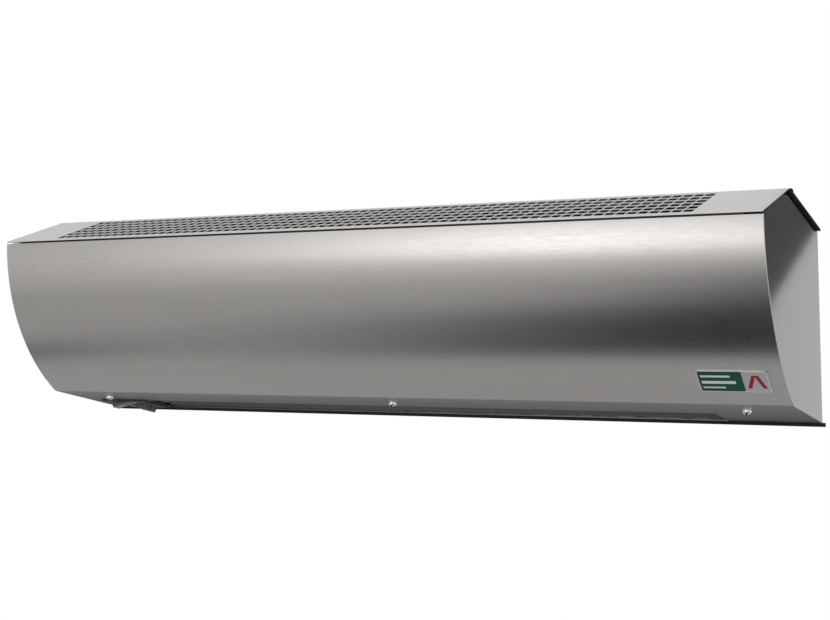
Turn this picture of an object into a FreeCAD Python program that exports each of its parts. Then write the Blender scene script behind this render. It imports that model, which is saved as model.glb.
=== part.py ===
"""Wall-mounted air curtain with a curved front, a perforated intake on top and a slot outlet below.

Frame: +X runs along the housing to the right, +Y points into the wall and +Z up. The origin is the
centre of the four wall-fixing holes, on the face of the back plate that lies against the wall.
Sketches are drawn with heights taken from the bottom rear edge of the housing, and every finished
piece is then lowered by fixing_height.
"""
import FreeCAD
import Part
import Sketcher
import math
import os

V = FreeCAD.Vector

SIZES = {
    # housing
    "length": 810.0,
    "depth": 188.0,
    "shoulder_height": 180.0,
    "front_radius": 197.3,
    "ridge_setback": 104.0,
    "ridge_height": 205.5,
    "rear_height": 177.0,
    "lip_angle": 11.05,
    "gauge": 1.0,
    "cover_gap": 2.6,
    "seat_gap": 0.3,
    "fixing_height": 105.0,
    # back plate
    "plate_gauge": 1.5,
    "plate_overhang": 1.3,
    "drip_fold": 1.8,
    "tab_length": 5.0,
    "tab_height": 3.6,
    "tab_reach": 1.2,
    "plate_foot": 2.0,
    "fixing_inset": 33.0,
    "fixing_rise": 90.0,
    "fixing_hole": 6.5,
    "gland_hole": 18.0,
    "gland_bore": 11.0,
    "gland_inset": 39.0,
    "gland_height": 84.0,
    "gland_flange": 24.0,
    "gland_length": 9.0,
    # intake panel
    "panel_gauge": 0.6,
    "hole_width": 8.7,
    "hole_reach": 10.0,
    "hole_pitch": 9.98,
    "hole_row_pitch": 12.6,
    "hole_margin": 58.0,
    "hole_rows": 6,
    "panel_fold": 9.0,
    "fold_setback": 4.0,
    # end caps
    "cap_gauge": 1.2,
    "cap_recess": 1.6,
    "rim_depth": 12.0,
    "rim_gauge": 1.2,
    # outlet
    "outlet_inset": 85.0,
    "outlet_front": 56.0,
    "outlet_width": 45.0,
    "duct_top": 64.0,
    "duct_gauge": 1.0,
    "duct_flange": 32.0,
    "vane_height": 16.0,
    "vane_gauge": 1.0,
    "vane_hem": 3.0,
    "vane_lean": 12.0,
    # cover screws
    "screw_hole": 4.5,
    "screw_from_bend": 34.0,
    "screw_inset": 49.0,
    "screw_head": 8.0,
    "screw_head_height": 3.0,
    "screw_shank": 4.0,
    "screw_length": 9.0,
    "recess_width": 1.3,
    "recess_span": 4.6,
    "recess_depth": 1.6,
    # blower
    "fan_setback": 62.0,
    "fan_height": 118.0,
    "fan_diameter": 84.0,
    "fan_bore": 66.0,
    "fan_left_inset": 94.0,
    "fan_right_inset": 162.0,
    "blade_gauge": 0.8,
    "blade_count": 28,
    "disc_gauge": 1.2,
    "disc_count": 4,
    "hub_diameter": 22.0,
    "hub_length": 14.0,
    "scroll_clearance": 12.0,
    "scroll_start": 75.0,
    "shaft_diameter": 8.0,
    "shaft_reach": 26.0,
    "shaft_clearance": 0.05,
    # motor and bearing
    "motor_diameter": 76.0,
    "motor_length": 56.0,
    "motor_gap": 18.0,
    "bracket_gauge": 2.0,
    "bracket_width": 92.0,
    "bracket_foot": 26.0,
    "grommet_diameter": 14.0,
    "grommet_circle": 56.0,
    "grommet_thickness": 6.0,
    "bush_diameter": 16.0,
    "bush_length": 14.0,
    "bearing_ring": 30.0,
    # heater
    "heater_tube": 8.5,
    "heater_pitch": 14.0,
    "heater_height": 47.0,
    "fin_width": 42.0,
    "fin_height": 24.0,
    "fin_gauge": 0.6,
    "fin_count": 46,
    "fin_fit": 0.05,
    "cutout_diameter": 16.0,
    "cutout_height": 9.0,
    "cutout_offset": -120.0,
    # controls
    "bezel_length": 60.0,
    "bezel_width": 42.0,
    "bezel_margin": 2.5,
    "bezel_gauge": 1.8,
    "bezel_inset": 51.0,
    "bezel_from_bend": 75.0,
    "key_length": 40.0,
    "key_width": 10.2,
    "key_pitch": 11.6,
    "key_clearance": 0.35,
    "key_tilt": 11.0,
    "key_end_height": 8.2,
    "key_dip": 2.4,
    "key_skirt": 3.0,
    "key_cavity": 13.0,
    "key_pivot_depth": 3.0,
    "pin_diameter": 3.0,
    "pin_clearance": 0.06,
    "switch_depth": 20.0,
    # terminals
    "terminal_length": 54.0,
    "terminal_depth": 22.0,
    "terminal_height": 24.0,
    "terminal_inset": 45.0,
    "terminal_level": 120.0,
    "terminal_ways": 5,
    "terminal_screw": 6.0,
    "terminal_bore": 5.0,
    "lead_diameter": 3.2,
}

doc = FreeCAD.newDocument("air_curtain")
sheet = doc.addObject("Spreadsheet::Sheet", "Sizes")
for row, (alias, value) in enumerate(SIZES.items(), 1):
    sheet.set(f"A{row}", alias)
    sheet.set(f"B{row}", str(value))
    sheet.setAlias(f"B{row}", alias)
doc.recompute()

finished = []
height_of = {}

# Stations along the length that follow the ends of the housing
FIXING_X = "(length / 2 - fixing_inset)"
GLAND_X = "(gland_inset - length / 2)"
BEZEL_X = "(bezel_inset - length / 2)"
TERMINAL_X = "(terminal_inset - length / 2)"
SCREW_STATIONS = ("(screw_inset - length / 2)", "0", "(length / 2 - screw_inset)")
OUTLET_LENGTH = "(length - 2 * outlet_inset)"
OUTLET_LEFT = "(outlet_inset - length / 2)"
OUTLET_RIGHT = "(length / 2 - outlet_inset)"
FAN_LEFT = "(fan_left_inset - length / 2)"
FAN_RIGHT = "(length / 2 - fan_right_inset)"
FAN_LENGTH = "(length - fan_left_inset - fan_right_inset)"
FAN_CENTRE = "((fan_left_inset - fan_right_inset) / 2)"


# Expressions

def size(text):
    """Turns plain alias names in an expression into references to the sheet."""
    words = []
    word = ""
    for letter in text + " ":
        if letter.isalnum() or letter == "_":
            word += letter
            continue
        words.append(f"Sizes.{word}" if word in SIZES else word)
        words.append(letter)
        word = ""
    return "".join(words).strip()


def number(text):
    """The present value of an expression in millimetres, degrees or plain counts."""
    result = sheet.evalExpression(size(text))
    return float(getattr(result, "Value", result))


# Outline of the housing in the YZ plane, drawn in by an inset

RISE = "atan((ridge_height - shoulder_height) / (depth - ridge_setback))"
FALL = "atan((ridge_height - rear_height) / ridge_setback)"
ARC_Y = "(front_radius - depth)"
LIP_REACH = f"({ARC_Y} * sin(lip_angle) + shoulder_height * cos(lip_angle))"


def front_corner(inset):
    """Where the curved front meets the intake panel."""
    height = f"(shoulder_height + ({inset}) * tan({RISE}) - ({inset}) / cos({RISE}))"
    return f"(-depth + ({inset}))", height


def ridge(inset):
    """The ridge between the intake panel and the rear slope."""
    step = f"(({inset}) * (1 / cos({RISE}) - 1 / cos({FALL})) / (tan({RISE}) + tan({FALL})))"
    return f"(-ridge_setback + {step})", f"(ridge_height + {step} * tan({RISE}) - ({inset}) / cos({RISE}))"


def rear_corner(inset, back):
    """Where the rear slope meets the back."""
    return f"(-({back}))", f"(rear_height + ({back}) * tan({FALL}) - ({inset}) / cos({FALL}))"


def lip_at(along, inset):
    """A point of the lip, measured back from its bend and drawn in from its outer face."""
    start = f"(sqrt(front_radius^2 - {LIP_REACH}^2) - ({along}))"
    reach = f"({LIP_REACH} - ({inset}))"
    y = f"({ARC_Y} - sin(lip_angle) * {reach} - cos(lip_angle) * {start})"
    z = f"(shoulder_height - cos(lip_angle) * {reach} + sin(lip_angle) * {start})"
    return y, z


def lip_bend(inset):
    """Where the curved front turns into the lip."""
    start = f"sqrt((front_radius - ({inset}))^2 - ({LIP_REACH} - ({inset}))^2)"
    reach = f"({LIP_REACH} - ({inset}))"
    y = f"({ARC_Y} - sin(lip_angle) * {reach} - cos(lip_angle) * {start})"
    z = f"(shoulder_height - cos(lip_angle) * {reach} + sin(lip_angle) * {start})"
    return y, z


def lip_height(y, inset):
    """Height of the lip at a given setback, drawn in from its outer face."""
    return f"(-({y}) * tan(lip_angle) + ({inset}) / cos(lip_angle))"


def bottom_corner(inset, back):
    """Where the lip meets the back."""
    return f"(-({back}))", lip_height(f"-({back})", inset)


# Document helpers

def origin_plane(body, role):
    return next(part for part in body.Origin.OriginFeatures if part.Role == role)


def new_body(label):
    body = doc.addObject("PartDesign::Body", label)
    body.Label = label
    return body


def draw(body, role, loops, name):
    """A sketch of closed loops. A corner is (across, up), and ("arc", centre) between two corners
    bends that edge about the centre, turning the way the corners run."""
    sketch = body.newObject("Sketcher::SketchObject", name)
    sketch.AttachmentSupport = [(origin_plane(body, role), "")]
    sketch.MapMode = "FlatFace"
    for loop in loops:
        add_loop(sketch, loop)
    doc.recompute()
    return sketch


def add_loop(sketch, loop):
    corners = [item for item in loop if item[0] != "arc"]
    centres = {}
    for position, item in enumerate(loop):
        if item[0] == "arc":
            centres[sum(1 for other in loop[:position] if other[0] != "arc") - 1] = item[1:]
    spots = [V(number(across), number(up), 0) for across, up in corners]
    edges = []
    for index, spot in enumerate(spots):
        end = spots[(index + 1) % len(spots)]
        if index in centres:
            edges.append(add_arc(sketch, spot, end, centres[index]))
        else:
            edges.append((sketch.addGeometry(Part.LineSegment(spot, end), False), 1, 2))
    for index, (edge, _, last) in enumerate(edges):
        following, first, _ = edges[(index + 1) % len(edges)]
        sketch.addConstraint(Sketcher.Constraint("Coincident", edge, last, following, first))
    for index, (across, up) in enumerate(corners):
        edge, first, _ = edges[index]
        if index - 1 not in centres and not (index == 0 and len(corners) - 1 in centres):
            bind(sketch, "DistanceX", edge, first, spots[index].x, across)
        bind(sketch, "DistanceY", edge, first, spots[index].y, up)


def add_arc(sketch, start, end, centre):
    """An arc from start to end about a centre. Returns its edge and the numbers of its two ends."""
    middle = V(number(centre[0]), number(centre[1]), 0)
    turn = [math.atan2(spot.y - middle.y, spot.x - middle.x) for spot in (start, end)]
    left = (end - start).cross(middle - start).z > 0
    circle = Part.Circle(middle, V(0, 0, 1), (start - middle).Length)
    span = turn if left else turn[::-1]
    edge = sketch.addGeometry(Part.ArcOfCircle(circle, *span), False)
    bind(sketch, "DistanceX", edge, 3, middle.x, centre[0])
    bind(sketch, "DistanceY", edge, 3, middle.y, centre[1])
    return (edge, 1, 2) if left else (edge, 2, 1)


def bind(sketch, kind, edge, point, value, text):
    row = sketch.addConstraint(Sketcher.Constraint(kind, -1, 1, edge, point, value))
    sketch.setExpression(f"Constraints[{row}]", size(text))


def circle_loop(sketch, across, up, diameter):
    """A full circle in a sketch, tied to the sheet."""
    spot = V(number(across), number(up), 0)
    edge = sketch.addGeometry(Part.Circle(spot, V(0, 0, 1), number(diameter) / 2), False)
    row = sketch.addConstraint(Sketcher.Constraint("Radius", edge, number(diameter) / 2))
    sketch.setExpression(f"Constraints[{row}]", size(f"({diameter}) / 2"))
    bind(sketch, "DistanceX", edge, 3, spot.x, across)
    bind(sketch, "DistanceY", edge, 3, spot.y, up)


def rectangle(left, low, right, high):
    return [(left, low), (right, low), (right, high), (left, high)]


def pad(body, sketch, length, name):
    """A pad to both sides of its sketch."""
    feature = body.newObject("PartDesign::Pad", name)
    feature.Profile = sketch
    feature.Midplane = True
    feature.setExpression("Length", size(length))
    doc.recompute()
    return feature


def pad_from(body, sketch, start, length, name):
    """A pad that runs along +X from a given station of a YZ sketch."""
    sketch.setExpression("AttachmentOffset.Base.z", size(start))
    feature = body.newObject("PartDesign::Pad", name)
    feature.Profile = sketch
    feature.setExpression("Length", size(length))
    doc.recompute()
    return feature


def pocket_through(body, sketch, name):
    """A cut right through, to both sides of its sketch."""
    before = body.Shape.Volume
    feature = body.newObject("PartDesign::Pocket", name)
    feature.Profile = sketch
    feature.Type = "ThroughAll"
    feature.Midplane = True
    doc.recompute()
    if body.Shape.Volume >= before:
        raise RuntimeError(f"{name} cuts nothing")
    return feature


def box(name, spans, at):
    made = doc.addObject("Part::Box", name)
    for side, span in zip(("Length", "Width", "Height"), spans):
        made.setExpression(side, size(span))
    return put(made, at)


def rod(name, diameter, length, at, along="x"):
    """A cylinder that starts at a point and runs along +X, +Y or +Z."""
    made = doc.addObject("Part::Cylinder", name)
    made.setExpression("Radius", size(f"({diameter}) / 2"))
    made.setExpression("Height", size(length))
    turns = {"x": (V(0, 1, 0), 90), "y": (V(1, 0, 0), -90), "z": (V(0, 0, 1), 0)}
    made.Placement.Rotation = FreeCAD.Rotation(*turns[along])
    return put(made, at)


def put(made, at):
    for axis, text in zip("xyz", at):
        made.setExpression(f"Placement.Base.{axis}", size(text))
    height_of[made.Name] = at[2]
    return made


def join(name, shapes):
    made = doc.addObject("Part::MultiFuse", name)
    made.Shapes = shapes
    return made


def cut(name, base, tools):
    made = doc.addObject("Part::Cut", name)
    made.Base = base
    made.Tool = tools[0] if len(tools) == 1 else join(name + "_tools", tools)
    return made


def group(name, shapes):
    made = doc.addObject("Part::Compound", name)
    made.Links = shapes
    return made


def finish(made, label):
    """Names a sub-part and lowers it so that the fixing holes are centred on the origin."""
    made.Label = label
    own_height = height_of.get(made.Name, "0")
    made.setExpression("Placement.Base.z", size(f"({own_height}) - fixing_height"))
    finished.append(made)
    return made


def sweep_lead(name, points, diameter):
    """A lead along straight runs joined by arcs as large as the shorter run allows."""
    spots = [V(*point) for point in points]
    edges = []
    last = spots[0]
    for before, corner, after in zip(spots, spots[1:], spots[2:]):
        into = (corner - before).normalize()
        out = (after - corner).normalize()
        turn = into.getAngle(out)
        reach = 0.45 * min((corner - before).Length, (after - corner).Length)
        radius = reach / math.tan(turn / 2)
        start = corner - into * reach
        end = corner + out * reach
        inward = (out - into).normalize()
        centre = corner + inward * (radius / math.cos(turn / 2))
        middle = centre - inward * radius
        edges.append(Part.LineSegment(last, start).toShape())
        edges.append(Part.Arc(start, middle, end).toShape())
        last = end
    edges.append(Part.LineSegment(last, spots[-1]).toShape())
    path = Part.Wire(edges)
    ring = Part.Wire(Part.Circle(spots[0], spots[1] - spots[0], diameter / 2).toShape())
    solid = path.makePipeShell([ring], True, False)
    made = doc.addObject("Part::Feature", name)
    made.Shape = solid
    expected = math.pi * diameter ** 2 / 4 * path.Length
    if abs(solid.Volume - expected) > 0.02 * expected:
        raise RuntimeError(f"{name} has the wrong volume")
    return made


# Housing

INNER = "gauge"
CAP_INSET = "(gauge + seat_gap)"
PLATE_INSET = "plate_gauge"


def make_back_plate():
    """The plate on the wall, with its sloped top that overhangs the end caps in a drip fold."""
    body = new_body("back_plate")
    upright = rectangle("-plate_gauge", "0", "0", rear_corner(PLATE_INSET, PLATE_INSET)[1])
    pad(body, draw(body, "YZ_Plane", [upright], "upright"),
        "length - 2 * (cap_recess + cap_gauge + rim_depth + seat_gap)", "upright_pad")
    top_edge = "(-ridge_setback + seat_gap)"
    top = f"(ridge_height - seat_gap * tan({FALL}))"
    slope = [
        rear_corner("0", "0"), (top_edge, top),
        (top_edge, f"({top} - plate_gauge / cos({FALL}))"), rear_corner(PLATE_INSET, "0"),
    ]
    pad(body, draw(body, "YZ_Plane", [slope], "slope"), "length + 2 * plate_overhang", "slope_pad")
    fold = [
        rear_corner("0", "0"), (top_edge, top),
        (top_edge, f"({top} - drip_fold / cos({FALL}))"), rear_corner("drip_fold", "0"),
    ]
    outer_ends = {
        "left": "-(length / 2 + plate_overhang)",
        "right": "length / 2 + plate_overhang - gauge",
    }
    for side, start in outer_ends.items():
        pad_from(body, draw(body, "YZ_Plane", [fold], f"fold_{side}"), start, "gauge", f"fold_{side}_pad")
    tab_back = "(ridge_setback - seat_gap - tab_length)"
    tab = [
        rear_corner("0", tab_back), (top_edge, top),
        (top_edge, f"({top} - tab_height / cos({FALL}))"), rear_corner("tab_height", tab_back),
    ]
    tab_ends = {
        "left": "-(length / 2 + plate_overhang + tab_reach)",
        "right": "length / 2 + plate_overhang - gauge",
    }
    for side, start in tab_ends.items():
        pad_from(body, draw(body, "YZ_Plane", [tab], f"tab_{side}"), start, "gauge + tab_reach",
                 f"tab_{side}_pad")
    foot = rectangle("-plate_gauge", "-plate_foot", "0", "0")
    pad(body, draw(body, "YZ_Plane", [foot], "foot"), "length + 2 * plate_overhang", "foot_pad")
    holes = draw(body, "XZ_Plane", [], "holes")
    for across in (f"-{FIXING_X}", FIXING_X):
        for up in ("fixing_height - fixing_rise / 2", "fixing_height + fixing_rise / 2"):
            circle_loop(holes, across, up, "fixing_hole")
    circle_loop(holes, GLAND_X, "gland_height", "gland_hole")
    doc.recompute()
    pocket_through(body, holes, "holes_pocket")
    finish(body, "back_plate")


def lip_cutout(sketch, left, right, front, back):
    """A rectangle cut straight up through the lip, between two distances back from its bend."""
    low = lip_at(front, "0")[0]
    high = lip_at(back, "0")[0]
    add_loop(sketch, rectangle(left, low, right, high))


def make_front_cover():
    """One bent sheet: the curved front and the lip below it, with the outlet and the control cut out."""
    body = new_body("front_cover")
    top = "(shoulder_height - cover_gap)"
    outer_top = f"({ARC_Y} - sqrt(front_radius^2 - cover_gap^2))"
    inner_top = f"({ARC_Y} - sqrt((front_radius - gauge)^2 - cover_gap^2))"
    rear = "(plate_gauge + seat_gap)"
    profile = [
        (outer_top, top), ("arc", ARC_Y, "shoulder_height"), lip_bend("0"),
        bottom_corner("0", rear), bottom_corner(INNER, rear),
        lip_bend(INNER), ("arc", ARC_Y, "shoulder_height"), (inner_top, top),
    ]
    pad(body, draw(body, "YZ_Plane", [profile], "profile"), "length", "sheet")
    openings = draw(body, "XY_Plane", [], "openings")
    lip_cutout(openings, OUTLET_LEFT, OUTLET_RIGHT, "outlet_front", "outlet_front + outlet_width")
    lip_cutout(openings, f"{BEZEL_X} - bezel_length / 2 + bezel_margin",
               f"{BEZEL_X} + bezel_length / 2 - bezel_margin",
               "bezel_from_bend - bezel_width / 2 + bezel_margin",
               "bezel_from_bend + bezel_width / 2 - bezel_margin")
    for station in SCREW_STATIONS:
        circle_loop(openings, station, lip_at("screw_from_bend", "0")[0], "screw_hole")
    doc.recompute()
    pocket_through(body, openings, "openings_pocket")
    finish(body, "front_cover")


def make_intake_panel():
    """The perforated panel between the front and the ridge, folded down along both long edges."""
    near = V(0, *[number(text) for text in front_corner("0")])
    far = V(0, *[number(text) for text in ridge("0")])
    length = number("length")
    gauge = number("gauge")
    along = (far - near).normalize()
    inward = V(0, along.z, -along.y)
    middle = (near + far) / 2

    def spot(across, back):
        return middle + V(across, 0, 0) + along * back

    def ring(across, back, width, reach):
        corners = [spot(across + sx * width / 2, back + sy * reach / 2)
                   for sx, sy in ((-1, -1), (1, -1), (1, 1), (-1, 1))]
        return Part.makePolygon(corners + corners[:1])

    columns = int(number("(length - 2 * hole_margin) / hole_pitch"))
    rows = int(number("hole_rows"))
    width = number("hole_width")
    reach = number("hole_reach")
    holes = [
        ring((column - (columns - 1) / 2) * number("hole_pitch"),
             (row - (rows - 1) / 2) * number("hole_row_pitch"), width, reach)
        for column in range(columns) for row in range(rows)
    ]
    wires = [ring(0, 0, length, (far - near).Length)] + holes
    sheet_face = Part.makeFace(wires, "Part::FaceMakerBullseye")
    panel = sheet_face.extrude(inward * number("panel_gauge"))
    fold = number("panel_fold")
    front_y = number(f"{ARC_Y} - (front_radius - gauge - seat_gap) + fold_setback")
    folds = [
        [near, near + V(0, front_y + gauge - near.y, (front_y + gauge - near.y) * along.z / along.y),
         V(0, front_y + gauge, near.z - fold), V(0, front_y, near.z - fold),
         V(0, front_y, near.z - gauge), V(0, near.y, near.z - gauge)],
        [far, far - along * gauge * 2, far - along * gauge * 2 + inward * gauge,
         V(0, far.y - gauge, far.z - fold), V(0, far.y, far.z - fold)],
    ]
    slope = along.z / along.y
    nose = [near, near + V(0, 2 * gauge, 2 * gauge * slope), V(0, near.y + 2 * gauge, near.z - gauge),
            V(0, near.y, near.z - gauge)]
    fold_length = number("length - 2 * (cap_recess + cap_gauge + rim_depth + cover_gap)")
    for corners, reach_x in ((folds[0], fold_length), (folds[1], fold_length), (nose, length)):
        strip = Part.Face(Part.makePolygon(corners + corners[:1])).extrude(V(reach_x, 0, 0))
        strip.translate(V(-reach_x / 2, 0, 0))
        panel = panel.fuse(strip)
    made = doc.addObject("Part::Feature", "intake_panel")
    made.Shape = panel.removeSplitter()
    finish(made, "intake_panel")


def cap_outline(inset):
    """The housing's outline inside its sheets, up to a corner hidden behind the front's upper edge."""
    back = f"(seat_gap + ({inset}) - {CAP_INSET})"
    drop = f"(cover_gap + seat_gap + ({inset}) - {CAP_INSET})"
    corner_y = f"({ARC_Y} - sqrt((front_radius - ({inset}))^2 - {drop}^2))"
    return [
        (corner_y, f"(shoulder_height - {drop})"), ("arc", ARC_Y, "shoulder_height"), lip_bend(inset),
        bottom_corner(inset, back), rear_corner(f"({inset} + plate_gauge - gauge)", back),
        ridge(f"({inset} + plate_gauge - gauge)"),
    ]


def make_end_cap(label, plate_start, rim_start):
    """A flat plate set inside the sheets, with a rim turned inwards all round."""
    body = new_body(label)
    plate = draw(body, "YZ_Plane", [cap_outline(CAP_INSET)], "plate")
    pad_from(body, plate, plate_start, "cap_gauge", "plate_pad")
    rim_loops = [cap_outline(CAP_INSET), cap_outline(f"({CAP_INSET} + rim_gauge)")]
    pad_from(body, draw(body, "YZ_Plane", rim_loops, "rim"), rim_start, "rim_depth", "rim_pad")
    finish(body, label)


def pan_screw(name):
    """A pan-head screw on its own axis: the head hangs below the seat and the shank stands above."""
    head = rod(name + "_head", "screw_head", "screw_head_height * 0.55",
               ("0", "0", "-screw_head_height * 0.55"), "z")
    crown = doc.addObject("Part::Cone", name + "_crown")
    crown.setExpression("Radius1", size("screw_head * 0.32"))
    crown.setExpression("Radius2", size("screw_head / 2"))
    crown.setExpression("Height", size("screw_head_height * 0.45"))
    put(crown, ("0", "0", "-screw_head_height"))
    shank = rod(name + "_shank", "screw_shank", "screw_length", ("0", "0", "0"), "z")
    solid = join(name + "_solid", [head, crown, shank])
    slots = [
        box(name + "_slot_x", ("recess_span", "recess_width", "recess_depth"),
            ("-recess_span / 2", "-recess_width / 2", "-screw_head_height")),
        box(name + "_slot_y", ("recess_width", "recess_span", "recess_depth"),
            ("-recess_width / 2", "-recess_span / 2", "-screw_head_height")),
    ]
    return cut(name, solid, slots)


def lay_on_lip(made, across, along, inset="0"):
    """Sets a piece drawn over a level lip onto the real, sloping one."""
    y, z = lip_at(along, inset)
    made.Placement = FreeCAD.Placement(V(0, 0, 0), FreeCAD.Rotation(V(-1, 0, 0), 10))
    made.setExpression("Placement.Rotation.Angle", size("lip_angle"))
    return put(made, (across, y, z))


def make_cover_screws():
    screws = []
    for index, station in enumerate(SCREW_STATIONS):
        screws.append(lay_on_lip(pan_screw(f"cover_screw_{index}"), station, "screw_from_bend"))
    finish(group("cover_screws", screws), "cover_screws")


# Outlet

DUCT_FRONT = lip_at("outlet_front", INNER)[0]
DUCT_REAR = lip_at("outlet_front + outlet_width", INNER)[0]


def make_outlet_frame():
    """The nozzle that stands on the lip, with flanges before and behind the slot."""
    body = new_body("outlet_frame")
    over = "(gauge + duct_gauge)"
    flange_start = "outlet_front - duct_flange"
    flange_end = "outlet_front + outlet_width + duct_gauge * 4"
    front = [
        lip_at(flange_start, INNER), (DUCT_FRONT, lip_height(DUCT_FRONT, INNER)),
        (DUCT_FRONT, "duct_top"), (f"({DUCT_FRONT} - duct_gauge)", "duct_top"),
        (f"({DUCT_FRONT} - duct_gauge)", lip_height(f"({DUCT_FRONT} - duct_gauge)", over)),
        lip_at(flange_start, over),
    ]
    rear = [
        (DUCT_REAR, lip_height(DUCT_REAR, INNER)), lip_at(flange_end, INNER), lip_at(flange_end, over),
        (f"({DUCT_REAR} + duct_gauge)", lip_height(f"({DUCT_REAR} + duct_gauge)", over)),
        (f"({DUCT_REAR} + duct_gauge)", "duct_top"), (DUCT_REAR, "duct_top"),
    ]
    end = [
        (DUCT_FRONT, lip_height(DUCT_FRONT, INNER)), (DUCT_REAR, lip_height(DUCT_REAR, INNER)),
        (DUCT_REAR, "duct_top"), (DUCT_FRONT, "duct_top"),
    ]
    strip = [
        lip_at(flange_start, INNER), lip_at("outlet_front - screw_shank", INNER),
        lip_at("outlet_front - screw_shank", over), lip_at(flange_start, over),
    ]
    pad(body, draw(body, "YZ_Plane", [front], "front"), f"{OUTLET_LENGTH} + 2 * duct_gauge", "front_pad")
    pad(body, draw(body, "YZ_Plane", [rear], "rear"), f"{OUTLET_LENGTH} + 2 * duct_gauge", "rear_pad")
    ends = {"left": f"{OUTLET_LEFT} - duct_gauge", "right": OUTLET_RIGHT}
    for side, start in ends.items():
        pad_from(body, draw(body, "YZ_Plane", [end], f"end_{side}"), start, "duct_gauge", f"end_{side}_pad")
    edge = "(length / 2 - cap_recess - cap_gauge - rim_depth - cover_gap)"
    pad_from(body, draw(body, "YZ_Plane", [strip], "strip"),
             f"-{edge}", f"2 * {edge}", "strip_pad")
    holes = draw(body, "XY_Plane", [], "screw_holes")
    for station in SCREW_STATIONS:
        circle_loop(holes, station, lip_at("screw_from_bend", INNER)[0], "screw_hole")
    doc.recompute()
    pocket_through(body, holes, "screw_holes_pocket")
    finish(body, "outlet_frame")


def make_vane(label, share):
    """A blade along the slot, hemmed along its lower edge and leaning with the air stream."""
    body = new_body(label)
    along = f"outlet_front + outlet_width * {share}"
    foot_y, foot_z = lip_at(along, INNER)

    def at(back, rise):
        y = f"({foot_y} + ({back}) * cos(vane_lean) - ({rise}) * sin(vane_lean))"
        return y, f"({foot_z} + ({back}) * sin(vane_lean) + ({rise}) * cos(vane_lean))"

    blade = [
        at("0", "0"), at("vane_hem", "0"), at("vane_hem", "vane_gauge"), at("vane_gauge", "vane_gauge"),
        at("vane_gauge", "vane_height"), at("0", "vane_height"),
    ]
    pad(body, draw(body, "YZ_Plane", [blade], "blade"), OUTLET_LENGTH, "blade_pad")
    finish(body, label)


# Blower

FAN_Y = "(-fan_setback)"
MOTOR_LEFT = f"({FAN_RIGHT} + motor_gap)"
MOTOR_RIGHT = f"({MOTOR_LEFT} + motor_length)"
BRACKET_LEFT = f"({MOTOR_RIGHT} + grommet_thickness)"
BUSH_LEFT = f"({FAN_LEFT} - motor_gap / 2 - bush_length)"
RUNNING_BORE = "(shaft_diameter + 2 * shaft_clearance)"
SCROLL_RADIUS = "(fan_diameter / 2 + scroll_clearance)"


def on_fan_axis(body, across="0"):
    """Moves a piece drawn about the X axis onto the fan's axis."""
    body.setExpression("Placement.Base.x", size(across))
    body.setExpression("Placement.Base.y", size(FAN_Y))
    height_of[body.Name] = "fan_height"


def make_fan_impeller():
    """The drum of bent blades, stiffened by rings between its end discs."""
    body = new_body("fan_impeller")
    inner = "(fan_bore / 2)"
    outer = "(fan_diameter / 2)"
    middle = f"(({inner} + {outer}) / 2)"
    chord = [
        (inner, "0"), (f"{middle} * cos(7)", f"{middle} * sin(7)"),
        (f"{outer} * cos(10)", f"{outer} * sin(10)"),
    ]
    back = [(across, f"({up} - blade_gauge)") for across, up in reversed(chord)]
    blade = pad(body, draw(body, "YZ_Plane", [chord + back], "blade"),
                f"{FAN_LENGTH} - 2 * disc_gauge", "blade_pad")
    rings = []
    count = int(number("disc_count"))
    for index in range(1, count - 1):
        sketch = draw(body, "YZ_Plane", [], f"ring_{index}")
        circle_loop(sketch, "0", "0", "fan_diameter")
        circle_loop(sketch, "0", "0", "fan_bore - 4 * disc_gauge")
        doc.recompute()
        start = f"{FAN_LENGTH} * ({index} / (disc_count - 1) - 0.5) - disc_gauge / 2"
        rings.append(pad_from(body, sketch, start, "disc_gauge", f"ring_{index}_pad"))
    pattern = body.newObject("PartDesign::PolarPattern", "blades")
    pattern.Originals = [blade]
    pattern.Axis = (origin_plane(body, "X_Axis"), [""])
    pattern.Angle = 360
    pattern.setExpression("Occurrences", size("blade_count"))
    body.Tip = pattern
    doc.recompute()
    on_fan_axis(body, FAN_CENTRE)
    finish(body, "fan_impeller")


def ring_pad(body, name, start, length, outer, inner):
    sketch = draw(body, "YZ_Plane", [], name)
    circle_loop(sketch, "0", "0", outer)
    circle_loop(sketch, "0", "0", inner)
    doc.recompute()
    pad_from(body, sketch, start, length, name + "_pad")


def make_end_disc(label, disc_start, hub_start):
    """A disc that closes one end of the drum, with a hub that grips the shaft."""
    body = new_body(label)
    ring_pad(body, "disc", disc_start, "disc_gauge", "fan_diameter", "shaft_diameter")
    ring_pad(body, "hub", hub_start, "hub_length", "hub_diameter", "shaft_diameter")
    on_fan_axis(body)
    finish(body, label)


def make_shafts():
    """The stub in the bearing and the motor's own shaft, each held in a hub of the drum."""
    reach = "(disc_gauge + hub_length)"
    stub = rod("fan_shaft", "shaft_diameter", f"{reach} + shaft_reach",
               (f"{FAN_LEFT} - shaft_reach", FAN_Y, "fan_height"))
    finish(stub, "fan_shaft")
    drive = rod("motor_shaft", "shaft_diameter", f"{reach} + motor_gap + motor_length - bracket_gauge",
                (f"{FAN_RIGHT} - {reach}", FAN_Y, "fan_height"))
    finish(drive, "motor_shaft")


def around_axis(index, count, radius):
    """The spot of one of several equal stations round the fan's axis."""
    turn = f"(360 * {index} / {count} + 90)"
    return f"({FAN_Y} + ({radius}) * cos{turn})", f"(fan_height + ({radius}) * sin{turn})"


MOTOR_SCREWS = 3


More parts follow.
